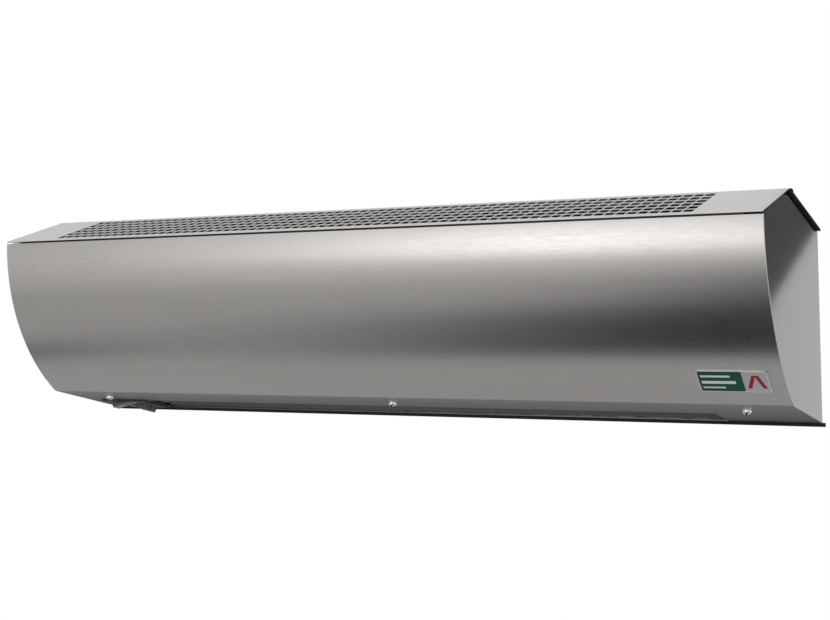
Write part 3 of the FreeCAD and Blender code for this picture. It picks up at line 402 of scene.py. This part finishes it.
def brushed_sheet(name, finish, tilt=0.0, anisotropic=0.7, painted_shade=1.0, gloss=0.0):
    """Stainless sheet with its grain along X, or tilted about Y to run another way."""
    material, tree, shader, place = start_material(name, Metallic=1.0, Anisotropic=anisotropic)
    turned = tree.nodes.new("ShaderNodeMapping")
    turned.inputs["Rotation"].default_value = (0.0, tilt, 0.0)
    tree.links.new(place, turned.inputs["Vector"])
    grain = place_group(tree, "Brushed grain", turned.outputs["Vector"], Lines=finish.lines)
    patch = place_group(tree, "Soft mottle", place, Scale=9.0)
    pebble = place_group(tree, "Soft mottle", place, Scale=finish.pebbles)
    # A painted_shade below one darkens both grain tones, a darker copy of the steel: painted shade.
    tones = [[painted_shade * part for part in tone] for tone in (finish.dark, finish.pale)]
    satin = weighed_sum(tree, (grain.outputs["Streak"], 0.5), (pebble.outputs["Patch"], 0.5))
    mix_colours(tree, satin, *tones, shader)
    gloss_patch = weighed_sum(tree, (grain.outputs["Fine"], 0.6), (patch.outputs["Patch"], 0.4))
    rough = finish.roughness - gloss
    spread = 0.04
    spread_roughness(tree, gloss_patch, rough - spread, rough + spread, shader)
    add_bump(tree, grain.outputs["Fine"], 0.012, 0.0004, shader)
    along = tree.nodes.new("ShaderNodeCombineXYZ")
    along.inputs["X"].default_value = math.cos(tilt)
    along.inputs["Z"].default_value = math.sin(tilt)
    tree.links.new(along.outputs[0], shader.inputs["Tangent"])
    return material


def textured(name, dark, pale, rough, pits=1400.0, bump=0.12, **sockets):
    """Moulded plastic, rubber or powder coat."""
    material, tree, shader, place = start_material(name, **sockets)
    fine = place_group(tree, "Fine texture", place, Scale=pits)
    mix_colours(tree, fine.outputs["Patch"], dark, pale, shader)
    spread = 0.06
    spread_roughness(tree, fine.outputs["Patch"], rough - spread, rough + spread, shader)
    add_bump(tree, fine.outputs["Height"], bump, 0.0003, shader)
    return material


def worn_metal(name, dark, pale, low, high, scale=40.0):
    """Plain metal with faint patches in its colour and gloss."""
    material, tree, shader, place = start_material(name, Metallic=1.0)
    patch = place_group(tree, "Soft mottle", place, Scale=scale)
    mix_colours(tree, patch.outputs["Patch"], dark, pale, shader)
    spread_roughness(tree, patch.outputs["Patch"], low, high, shader)
    add_bump(tree, patch.outputs["Patch"], 0.05, 0.0005, shader)
    return material


def spangled(name, dark, pale):
    """Galvanised sheet with its pattern of zinc crystals."""
    material, tree, shader, place = start_material(name, Metallic=1.0)
    crystals = node(tree, "ShaderNodeTexVoronoi", Scale=130.0, Randomness=1.0)
    tree.links.new(place, crystals.inputs["Vector"])
    tone = tree.nodes.new("ShaderNodeSeparateColor")
    tree.links.new(crystals.outputs["Color"], tone.inputs["Color"])
    mix_colours(tree, tone.outputs["Red"], dark, pale, shader)
    spread_roughness(tree, tone.outputs["Green"], 0.32, 0.5, shader)
    add_bump(tree, crystals.outputs["Distance"], 0.03, 0.0005, shader)
    return material


def give(material, *names):
    """Puts a finish on CAD nodes."""
    for name in names:
        for slot in NODES[name].material_slots:
            slot.material = material


def ease_edges(name, width, segments):
    """Rounds the hard edges of a CAD node a little, as moulding does."""
    weld = NODES[name].modifiers.new("Weld", "WELD")
    weld.merge_threshold = 0.00001
    bevel = NODES[name].modifiers.new("Eased edges", "BEVEL")
    bevel.width = width
    bevel.segments = segments
    bevel.limit_method = "ANGLE"
    bevel.angle_limit = math.radians(35)
    NODES[name].modifiers.new("Even shading", "WEIGHTED_NORMAL")


# Meshes


def verts_of(geometry):
    """The vertices among the results of a bmesh operator."""
    return [item for item in geometry if isinstance(item, bmesh.types.BMVert)]


def all_of(bm):
    """All the geometry of a bmesh."""
    return list(bm.verts) + list(bm.edges) + list(bm.faces)


def link_mesh(bm, name, material):
    """Turns a bmesh into an object of the scene."""
    mesh = bpy.data.meshes.new(name)
    bm.to_mesh(mesh)
    bm.free()
    made = bpy.data.objects.new(name, mesh)
    bpy.context.scene.collection.objects.link(made)
    mesh.materials.append(material)
    return made


def finish_piece(bm, name, material, body):
    """Turns a bmesh into a piece that rides on a body."""
    bmesh.ops.remove_doubles(bm, verts=bm.verts, dist=0.000005)
    bmesh.ops.recalc_face_normals(bm, faces=bm.faces)
    piece = link_mesh(bm, name, material)
    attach(piece, body)
    return piece


def wrap_on_front(bm):
    """Bends a flat shape onto the curved front: its Y runs down the arc and its Z stands off it."""
    for vert in bm.verts:
        turn = vert.co.y / FRONT_RADIUS
        reach = FRONT_RADIUS + vert.co.z
        vert.co.y = FRONT_AXIS_Y - reach * math.cos(turn)
        vert.co.z = FRONT_AXIS_Z - reach * math.sin(turn)


def thicken(bm, height):
    """Gives a flat shape walls and a top."""
    grown = bmesh.ops.extrude_face_region(bm, geom=list(bm.faces))["geom"]
    bmesh.ops.translate(bm, vec=(0.0, 0.0, height), verts=verts_of(grown))


def flat_plate(left, right, top, bottom, base, height, corner):
    """A flat plate with rounded corners, cut into strips so that it can bend."""
    bm = bmesh.new()
    bmesh.ops.create_grid(bm, x_segments=1, y_segments=1, size=0.5)
    bmesh.ops.scale(bm, vec=(right - left, bottom - top, 1.0), verts=bm.verts)
    bmesh.ops.translate(bm, vec=((left + right) / 2, (top + bottom) / 2, base), verts=bm.verts)
    bmesh.ops.bevel(bm, geom=list(bm.verts), offset=corner, offset_type="OFFSET", affect="VERTICES",
                    segments=5, profile=0.5, material=-1)
    thicken(bm, height)
    strips = 8
    downwards = (0.0, 1.0, 0.0)
    for step in range(1, strips):
        run = top + (bottom - top) * step / strips
        bmesh.ops.bisect_plane(bm, geom=all_of(bm), plane_co=(0.0, run, 0.0), plane_no=downwards)
    return bm


class AIRCURTAIN_OT_housing(bpy.types.Operator):
    """Finishes the sheets of the housing"""

    bl_idname = "air_curtain.housing"
    bl_label = "Housing"

    def execute(self, context):
        finish = context.scene.air_curtain_sheet
        front = brushed_sheet("Brushed front", finish)
        # Painted shade on the lip of the front, darker towards the wall.
        paint_lip_shade(front)
        give(front, "front_cover")
        panel = brushed_sheet("Brushed panel", finish)
        finish_panel(panel)
        give(panel, "intake_panel")
        upright = math.radians(90)
        # The end caps are a darker copy of the brushed steel: painted shade for the sides of the
        # housing.
        cap = brushed_sheet("Brushed cap with painted shade", finish, upright, anisotropic=0.2, painted_shade=0.42, gloss=0.18)
        paint_cap_joint_shade(cap)
        give(cap, "end_cap_left", "end_cap_right")
        paint = textured("Black powder coat", (0.006, 0.006, 0.007), (0.014, 0.014, 0.015), 0.6,
                         Specular_IOR_Level=0.25)
        give(paint, "back_plate")
        return {"FINISHED"}


def domed_head(sizes):
    """A domed screw head with a sunk cross, on its seat at the origin with its crown along +Z."""
    bm = bmesh.new()
    bmesh.ops.create_grid(bm, x_segments=16, y_segments=16, size=1.0)
    arm_width = 0.2
    arm_reach = 0.85
    cross = []
    for face in bm.faces:
        spot = face.calc_center_median()
        narrow, wide = sorted((abs(spot.x), abs(spot.y)))
        if narrow < arm_width and wide < arm_reach:
            cross.append(face)
    sunk = bmesh.ops.extrude_face_region(bm, geom=cross)["geom"]
    bmesh.ops.delete(bm, geom=cross, context="FACES_ONLY")
    floor = verts_of(sunk)
    for face in bm.faces:
        face.smooth = True
    # The faces of the sunk cross take the second slot, a near-black finish: painted shade in the recess.
    for vert in floor:
        for face in vert.link_faces:
            face.material_index = 1
            face.smooth = False
    fullness = 0.9
    for vert in bm.verts:
        across, up = vert.co.x, vert.co.y
        vert.co.x = across * math.sqrt(1.0 - up * up / 2)
        vert.co.y = up * math.sqrt(1.0 - across * across / 2)
        vert.co.z = math.sqrt(1.0 - fullness * (vert.co.x ** 2 + vert.co.y ** 2))
    bmesh.ops.scale(bm, vec=(sizes.head, sizes.head, sizes.crown), verts=bm.verts)
    bmesh.ops.translate(bm, vec=(0.0, 0.0, -sizes.recess), verts=floor)
    rim = [edge for edge in bm.edges if edge.is_boundary]
    skirt = bmesh.ops.extrude_edge_only(bm, edges=rim)["geom"]
    bmesh.ops.scale(bm, vec=(1.0, 1.0, 0.0), verts=verts_of(skirt))
    return bm


class AIRCURTAIN_OT_trim(bpy.types.Operator):
    """Makes the screw heads in the lip, the corner seals and the rolled edges of the front"""

    bl_idname = "air_curtain.trim"
    bl_label = "Trim"

    def execute(self, context):
        sizes = context.scene.air_curtain_trim
        self.screws(sizes)
        self.seals()
        steel = worn_metal("Rolled edge", (0.50, 0.49, 0.48), (0.58, 0.57, 0.56), 0.25, 0.35, 60.0)
        for side, end in (("left", -HOUSING_END), ("right", HOUSING_END)):
            self.rolled_edge(f"rolled_edge_{side}", end, sizes.bead, steel)
        return {"FINISHED"}

    def seals(self):
        """A soft black strip closes the gap under the rear flange of each end cap."""
        soft = textured("Soft seal", (0.01, 0.01, 0.01), (0.02, 0.02, 0.02), 0.7)
        for side, end in ((-1, "left"), (1, "right")):
            bm = bmesh.new()
            bmesh.ops.create_cube(bm, size=1.0)
            bmesh.ops.scale(bm, vec=SEAL_SPAN, verts=bm.verts)
            spot = (side * SEAL_PLACE.x, SEAL_PLACE.y, SEAL_PLACE.z)
            bmesh.ops.translate(bm, vec=spot, verts=bm.verts)
            finish_piece(bm, f"corner_seal_{end}", soft, "housing")

    def screws(self, sizes):
        """Three heads in a row, square to the lip."""
        bm = domed_head(sizes)
        bmesh.ops.rotate(bm, matrix=Matrix.Rotation(math.pi - LIP_FALL, 3, "X"), verts=bm.verts)
        seat = HOUSING_FOOT + sizes.setback * math.tan(LIP_FALL)
        bmesh.ops.translate(bm, vec=(0.0, -sizes.setback, seat), verts=bm.verts)
        head = all_of(bm)
        for side in (-1, 1):
            copy = bmesh.ops.duplicate(bm, geom=head)["geom"]
            way = (side * (HOUSING_END - sizes.inset), 0.0, 0.0)
            bmesh.ops.translate(bm, vec=way, verts=verts_of(copy))
        plating = worn_metal("Bright plating", (0.62, 0.62, 0.62), (0.78, 0.78, 0.78), 0.1, 0.2, 220.0)
        piece = finish_piece(bm, "screw_heads", plating, "housing")
        # The second slot is near black: painted shade in the cross of each head.
        piece.data.materials.append(
            worn_metal("Recess", (0.02, 0.02, 0.02), (0.04, 0.04, 0.04), 0.5, 0.7, 220.0)
        )
        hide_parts("cover_screws")

    def rolled_edge(self, name, end, bead, material):
        """A thin bead that follows the arc of the front at one end."""
        bm = bmesh.new()
        bmesh.ops.create_circle(bm, cap_ends=False, segments=10, radius=bead)
        cover_gap = 0.0026
        clearance = 0.00005
        start = math.asin(cover_gap / FRONT_RADIUS)
        reach = FRONT_RADIUS - bead - clearance
        bmesh.ops.rotate(bm, matrix=Matrix.Rotation(start, 3, "X"), verts=bm.verts)
        spot = (end, FRONT_AXIS_Y - reach * math.cos(start), FRONT_AXIS_Z - reach * math.sin(start))
        bmesh.ops.translate(bm, vec=spot, verts=bm.verts)
        bmesh.ops.spin(bm, geom=list(bm.verts) + list(bm.edges), cent=(end, FRONT_AXIS_Y, FRONT_AXIS_Z),
                       axis=(1.0, 0.0, 0.0), angle=FRONT_BEND - start, steps=48)
        bmesh.ops.holes_fill(bm, edges=[edge for edge in bm.edges if edge.is_boundary], sides=12)
        for face in bm.faces:
            face.smooth = len(face.verts) == 4
        finish_piece(bm, name, material, "housing")


class AIRCURTAIN_OT_outlet(bpy.types.Operator):
    """Finishes the nozzle, its vanes and the sheets that guide the air"""

    bl_idname = "air_curtain.outlet"
    bl_label = "Outlet"

    def execute(self, context):
        give(spangled("Galvanised sheet", (0.40, 0.41, 0.42), (0.56, 0.57, 0.58)),
             "motor_bracket", "bearing_bracket")
        # Painted shade: the sheets and vanes inside the nozzle are near black, for the shade inside the
        # slot.
        give(spangled("Zinc darkened as painted shade", (0.035, 0.035, 0.035), (0.06, 0.06, 0.06)),
             "outlet_frame", "scroll_sheet", "tongue_sheet")
        give(worn_metal("Vane steel darkened as painted shade", (0.065, 0.065, 0.065), (0.11, 0.11, 0.11), 0.32, 0.45, 30.0),
             "outlet_vane_upper", "outlet_vane_lower")
        return {"FINISHED"}


class AIRCURTAIN_OT_blower(bpy.types.Operator):
    """Finishes the fan, its motor and its bearing"""

    bl_idname = "air_curtain.blower"
    bl_label = "Blower"

    def execute(self, context):
        give(worn_metal("Fan aluminium", (0.58, 0.59, 0.60), (0.72, 0.73, 0.74), 0.3, 0.45),
             "fan_impeller", "fan_end_disc_left", "fan_end_disc_right")
        give(worn_metal("Ground shaft", (0.6, 0.6, 0.61), (0.78, 0.78, 0.79), 0.15, 0.3, 200.0),
             "fan_shaft", "motor_shaft", "motor_screws")
        give(textured("Motor enamel", (0.07, 0.075, 0.08), (0.11, 0.115, 0.12), 0.42), "motor_can")
        give(textured("Rubber", (0.015, 0.015, 0.015), (0.03, 0.03, 0.03), 0.75, 900.0, 0.2),
             "motor_grommets", "bearing_grommet", "cable_gland")
        give(worn_metal("Bronze", (0.55, 0.38, 0.17), (0.72, 0.54, 0.28), 0.3, 0.45, 150.0),
             "bearing_bush", "terminal_screws")
        return {"FINISHED"}


class AIRCURTAIN_OT_heater(bpy.types.Operator):
    """Finishes the heater, its cut-out and the terminals"""

    bl_idname = "air_curtain.heater"
    bl_label = "Heater"

    def execute(self, context):
        give(worn_metal("Tinted steel", (0.24, 0.19, 0.15), (0.42, 0.37, 0.33), 0.35, 0.55, 25.0),
             "heater_tubes", "heater_fins")
        give(textured("Insulating board", (0.62, 0.57, 0.46), (0.76, 0.72, 0.62), 0.7, 700.0),
             "heater_end_plates", "thermal_cutout", "terminal_block")
        give(textured("Lead sheath", (0.07, 0.07, 0.08), (0.13, 0.13, 0.14), 0.5), "wiring_loom")
        return {"FINISHED"}


def key_half(name, side):
    """The middle of one half of a key's dished face, and the way that it faces."""
    low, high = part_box(name)
    middle = (low[0] + high[0]) / 2
    past_bore = 0.004
    outward_share = 0.85
    spot = Vector()
    normal = Vector()
    area = 0.0
    for face in NODES[name].data.polygons:
        outwards = face.normal.dot(LIP_OUT) > outward_share
        if outwards and (face.center.x - middle) * side > past_bore:
            spot += face.center * face.area
            normal += face.normal * face.area
            area += face.area
    return spot / area, normal.normalized()


class AIRCURTAIN_OT_controls(bpy.types.Operator):
    """Finishes the switch and its three keys"""

    bl_idname = "air_curtain.controls"
    bl_label = "Controls"

    def execute(self, context):
        give(textured("Black moulding", (0.012, 0.012, 0.013), (0.025, 0.025, 0.026), 0.48),
             "switch_bezel", "switch_body")
        sizes = context.scene.air_curtain_keys
        gloss = textured("Polished key", (0.06, 0.06, 0.061), (0.09, 0.09, 0.092), 0.2, 2200.0, 0.02,
                         Coat_Weight=0.6, Coat_Roughness=0.1)
        give(gloss, *KEYS)
        give(worn_metal("Axle steel", (0.6, 0.6, 0.61), (0.75, 0.75, 0.76), 0.2, 0.35, 200.0),
             "rocker_axle")
        paint = textured("White print", (0.62, 0.62, 0.6), (0.74, 0.74, 0.72), 0.5, 3000.0, 0.02)
        for key in KEYS:
            ease_edges(key, sizes.edge, sizes.segments)
            self.marks(key, sizes, paint)
        return {"FINISHED"}

    def marks(self, key, sizes, paint):
        """A bar on one half of a key for on, and a ring on the other for off."""
        bm = bmesh.new()
        lift = 0.00003
        for side in (1, -1):
            mark = bmesh.new()
            if side > 0:
                bmesh.ops.create_grid(mark, x_segments=1, y_segments=1, size=0.5)
                bmesh.ops.scale(mark, vec=(sizes.stroke, sizes.height, 1.0), verts=mark.verts)
            else:
                for radius in (sizes.height / 2, sizes.height / 2 - sizes.stroke):
                    bmesh.ops.create_circle(mark, cap_ends=False, segments=28, radius=radius)
                bmesh.ops.bridge_loops(mark, edges=list(mark.edges))
            thicken(mark, sizes.ink)
            spot, normal = key_half(key, side)
            turn = normal.to_track_quat("Z", "Y").to_matrix()
            bmesh.ops.rotate(mark, matrix=turn, verts=mark.verts)
            bmesh.ops.translate(mark, vec=spot + normal * lift, verts=mark.verts)
            flat = bpy.data.meshes.new("mark")
            mark.to_mesh(flat)
            mark.free()
            bm.from_mesh(flat)
            bpy.data.meshes.remove(flat)
        finish_piece(bm, f"marks_{key}", paint, key)


class AIRCURTAIN_OT_badge(bpy.types.Operator):
    """Makes the small badge on the curved front: a rim, two fields and plain marks"""

    bl_idname = "air_curtain.badge"
    bl_label = "Badge"

    def execute(self, context):
        sizes = context.scene.air_curtain_badge
        top = sizes.top * FRONT_RADIUS
        bottom = sizes.bottom * FRONT_RADIUS
        gap = 0.00006
        rim = worn_metal("Badge rim", (0.6, 0.6, 0.62), (0.75, 0.75, 0.77), 0.16, 0.28, 120.0)
        outline = (sizes.left, sizes.right, top, bottom)
        self.plate("badge_rim", outline, gap, sizes.thickness, sizes.corner, rim)
        inner = sizes.rim
        lift = gap + sizes.thickness
        corner = sizes.corner * 0.6
        seam = 0.0002
        green = textured("Badge green", sizes.green, [c * 1.25 for c in sizes.green], 0.3, 3000.0, 0.01,
                         Specular_IOR_Level=0.2)
        wide_field = (sizes.left + inner, sizes.split, top + inner, bottom - inner)
        self.plate("badge_green", wide_field, lift, sizes.film, corner, green)
        dim_silver = [c * 0.9 for c in sizes.silver]
        silver = worn_metal("Badge silver", dim_silver, sizes.silver, 0.25, 0.35, 90.0)
        narrow_field = (sizes.split + seam, sizes.right - inner, top + inner, bottom - inner)
        self.plate("badge_silver", narrow_field, lift, sizes.film, corner, silver)
        self.marks(sizes, top, bottom, lift + sizes.film)
        return {"FINISHED"}

    def plate(self, name, edges, base, height, corner, material):
        """A thin plate bent onto the front."""
        bm = flat_plate(*edges, base, height, corner)
        wrap_on_front(bm)
        finish_piece(bm, name, material, "housing")

    def marks(self, sizes, top, bottom, lift):
        """Pale bars on the green field and a red chevron on the silver one."""
        pale = textured("Badge pale", (0.62, 0.68, 0.66), (0.72, 0.76, 0.74), 0.4, 3000.0, 0.01)
        run = bottom - top
        width = sizes.split - sizes.left
        left = sizes.left + width * 0.08
        room = width * 0.84
        bar_height = 0.00008
        bar_corner = 0.0004
        # Each bar's start and height are shares of the badge's height, and its length one of the room.
        bars = ((0.2, 0.09, 0.78), (0.46, 0.13, 0.9), (0.74, 0.07, 0.6))
        for index, (start, share, reach) in enumerate(bars):
            edges = (left, left + room * reach, top + run * start, top + run * (start + share))
            self.plate(f"badge_bar_{index + 1}", edges, lift, bar_height, bar_corner, pale)
        red = textured("Badge red", sizes.red, [c * 1.2 for c in sizes.red], 0.35, 3000.0, 0.01,
                       Specular_IOR_Level=0.2)
        middle = (sizes.split + sizes.right) / 2
        spread = (sizes.right - sizes.split) * 0.3
        peak = 0.0012
        half_stroke = 0.0017
        mark_height = 0.0001
        mark_corner = 0.0003
        start = top + run * 0.2
        end = top + run * 0.8
        for side, name in ((-1, "badge_chevron_left"), (1, "badge_chevron_right")):
            bm = flat_plate(-half_stroke, half_stroke, start, end, lift, mark_height, mark_corner)
            for vert in bm.verts:
                share = (vert.co.y - start) / (end - start)
                vert.co.x += middle + side * (peak + (spread - peak) * share)
            wrap_on_front(bm)
            finish_piece(bm, name, red, "housing")


def rays_that_see(tree):
    """One for what the camera sees straight, in a gloss or through glass, and zero for light."""
    path = tree.nodes.new("ShaderNodeLightPath")
    seen = path.outputs["Is Camera Ray"]
    for ray in ("Is Glossy Ray", "Is Transmission Ray"):
        seen = value_math(tree, "MAXIMUM", seen, path.outputs[ray])
    return seen


def lamp(name, place, target, size, energy):
    """A soft rectangular lamp that faces a point."""
    light = bpy.data.lights.new(name, "AREA")
    light.shape = "RECTANGLE"
    light.size, light.size_y = size
    light.energy = energy
    made = bpy.data.objects.new(name, light)
    made.location = place
    made.rotation_euler = (Vector(target) - Vector(place)).to_track_quat("-Z", "Y").to_euler()
    made.visible_camera = False
    bpy.context.scene.collection.objects.link(made)


class AIRCURTAIN_OT_studio(bpy.types.Operator):
    """Sets the pale floor, the soft lamps, the white surround and the camera"""

    bl_idname = "air_curtain.studio"
    bl_label = "Studio"

    def execute(self, context):
        sizes = context.scene.air_curtain_studio
        self.floor(sizes)
        self.surround(context.scene)
        lamp("Strip softbox", (-0.68, -2.4, -0.22), (0.1, -0.18, 0.04), (0.72, 0.52), 4.0)
        lamp("Top softbox", (0.2, -0.6, 2.2), (0.0, -0.1, 0.0), (2.2, 1.4), 18.0)
        upwards = (0.0, 0.0, 1.0)
        self.card("front_card", (0.2, -0.95, -0.8), upwards, (2.2, 1.16), 0.0,
                  (-0.9, 0.05), (-1.28, -0.75))
        self.card("right_card", (0.55, -1.65, -0.78), upwards, (1.8, 2.5), 0.0,
                  (-0.14, 0.0), (-2.9, -2.1))
        self.card("rear_card", (-0.9, 2.2, -0.84), upwards, (5.0, 2.8), 0.0, tone=0.3)
        self.card("left_card", (-1.2, -0.4, -0.8), upwards, (0.9, 0.28), math.radians(-12),
                  (-0.7, -1.3), (-0.6, -0.35))
        self.card("far_left_card", (-2.0, -2.0, -0.3), (1.0, 0.0, 0.0), (2.8, 1.1), 0.0,
                  (-3.0, -2.5), (-3.4, -0.9), tone=0.85)
        self.card("side_card", (0.675, 0.15, 0.181), (0.0, -1.0, 0.0), (0.5, 0.5), math.radians(33),
                  tone=0.26)
        self.camera(context.scene, sizes)
        context.scene.view_settings.view_transform = "Standard"
        return {"FINISHED"}

    def floor(self, sizes):
        """A wide level floor below the unit."""
        bm = bmesh.new()
        bmesh.ops.create_grid(bm, x_segments=1, y_segments=1, size=sizes.floor_reach)
        bmesh.ops.translate(bm, vec=(0.0, 0.0, -sizes.floor_drop), verts=bm.verts)
        made = link_mesh(bm, "floor", self.floor_paint(sizes))

    def floor_paint(self, sizes):
        """Pale, even paint, paler to the eye and in reflections than as light."""
        material, tree, shader, place = start_material("Pale floor", Roughness=0.9)
        patch = place_group(tree, "Soft mottle", place, Scale=2.0)
        near = [c * 0.97 for c in sizes.floor_colour]
        mix_colours(tree, patch.outputs["Patch"], near, sizes.floor_colour, shader)
        mix_colours(tree, rays_that_see(tree), None, sizes.floor_seen, shader)
        return material

    def card(self, name, place, facing, spans, turn, fade_x=None, fade_y=None, tone=BLACK_CLOTH):
        """A black or grey card that only reflections see, thinning out along X and Y."""
        bm = bmesh.new()
        bmesh.ops.create_grid(bm, x_segments=1, y_segments=1, size=0.5)
        bmesh.ops.scale(bm, vec=(*spans, 1.0), verts=bm.verts)
        bmesh.ops.rotate(bm, matrix=Matrix.Rotation(turn, 3, "Z"), verts=bm.verts)
        facing_turn = Vector(facing).to_track_quat("Z", "Y").to_matrix()
        bmesh.ops.rotate(bm, matrix=facing_turn, verts=bm.verts)
        bmesh.ops.translate(bm, vec=place, verts=bm.verts)
        made = link_mesh(bm, name, self.dark_cloth(name, tone, fade_x, fade_y))
        made.visible_camera = False
        made.visible_diffuse = False
        made.visible_shadow = False

    def dark_cloth(self, name, tone, fade_x, fade_y):
        """Dull cloth, clear at the first place of each fade and solid at the second."""
        material, tree, shader, place = start_material(f"Dark cloth {name}", Roughness=0.95)
        weave = place_group(tree, "Fine texture", place, Scale=900.0)
        mix_colours(tree, weave.outputs["Patch"], [tone * 0.8] * 3, [tone * 1.2] * 3, shader)
        if fade_x is None:
            return material
        fades = []
        for axis, span in (("X", fade_x), ("Y", fade_y)):
            fade = ramp(tree, along_axis(tree, place, axis), *span)
            fade.interpolation_type = "SMOOTHSTEP"
            fades.append(fade.outputs["Result"])
        tree.links.new(value_math(tree, "MULTIPLY", *fades), shader.inputs["Alpha"])
        return material

    def surround(self, scene):
        """White to the eye and in reflections, and a softer grey as light."""
        world = bpy.data.worlds.new("Studio surround")
        world.use_nodes = True
        scene.world = world
        tree = world.node_tree
        background = tree.nodes["Background"]
        as_light = 0.55
        level = ramp(tree, rays_that_see(tree), 0.0, 1.0, low=as_light)
        tree.links.new(level.outputs["Result"], background.inputs["Strength"])
        background.inputs["Color"].default_value = (1.0, 1.0, 1.0, 1.0)

    def camera(self, scene, sizes):
        """The photograph's view: from the front right, with the frame lowered."""
        data = bpy.data.cameras.new("Camera")
        data.sensor_width = 36.0
        data.lens = sizes.focal
        data.shift_y = -FRAME_DROP / PHOTO_WIDTH
        made = bpy.data.objects.new("Camera", data)
        made.location = CAMERA_PLACE
        made.rotation_euler = CAMERA_TURN
        scene.collection.objects.link(made)
        scene.camera = made


OPERATORS = (
    AIRCURTAIN_OT_housing,
    AIRCURTAIN_OT_trim,
    AIRCURTAIN_OT_outlet,
    AIRCURTAIN_OT_blower,
    AIRCURTAIN_OT_heater,
    AIRCURTAIN_OT_controls,
    AIRCURTAIN_OT_badge,
    AIRCURTAIN_OT_studio,
)


class AIRCURTAIN_PT_panel(bpy.types.Panel):
    """Lists the steps that dress the air curtain"""

    bl_idname = "AIRCURTAIN_PT_panel"
    bl_label = "Air curtain"
    bl_space_type = "VIEW_3D"
    bl_region_type = "UI"
    bl_category = "Air curtain"

    def draw(self, context):
        for operator in OPERATORS:
            self.layout.operator(operator.bl_idname)
        for settings in SETTINGS:
            group = getattr(context.scene, settings)
            for name in group.__annotations__:
                self.layout.prop(group, name)


SETTINGS = {
    "air_curtain_sheet": SheetFinish,
    "air_curtain_trim": TrimSizes,
    "air_curtain_keys": KeySizes,
    "air_curtain_badge": BadgeSizes,
    "air_curtain_studio": StudioSizes,
}
CLASSES = (*SETTINGS.values(), *OPERATORS, AIRCURTAIN_PT_panel)


def register():
    for cls in CLASSES:
        bpy.utils.register_class(cls)
    for name, group in SETTINGS.items():
        setattr(bpy.types.Scene, name, PointerProperty(type=group))


def unregister():
    for name in SETTINGS:
        delattr(bpy.types.Scene, name)
    for cls in reversed(CLASSES):
        bpy.utils.unregister_class(cls)


def main():
    register()
    bpy.ops.air_curtain.housing()
    bpy.ops.air_curtain.trim()
    bpy.ops.air_curtain.outlet()
    bpy.ops.air_curtain.blower()
    bpy.ops.air_curtain.heater()
    bpy.ops.air_curtain.controls()
    bpy.ops.air_curtain.badge()
    bpy.ops.air_curtain.studio()


if __name__ == "__main__":
    main()
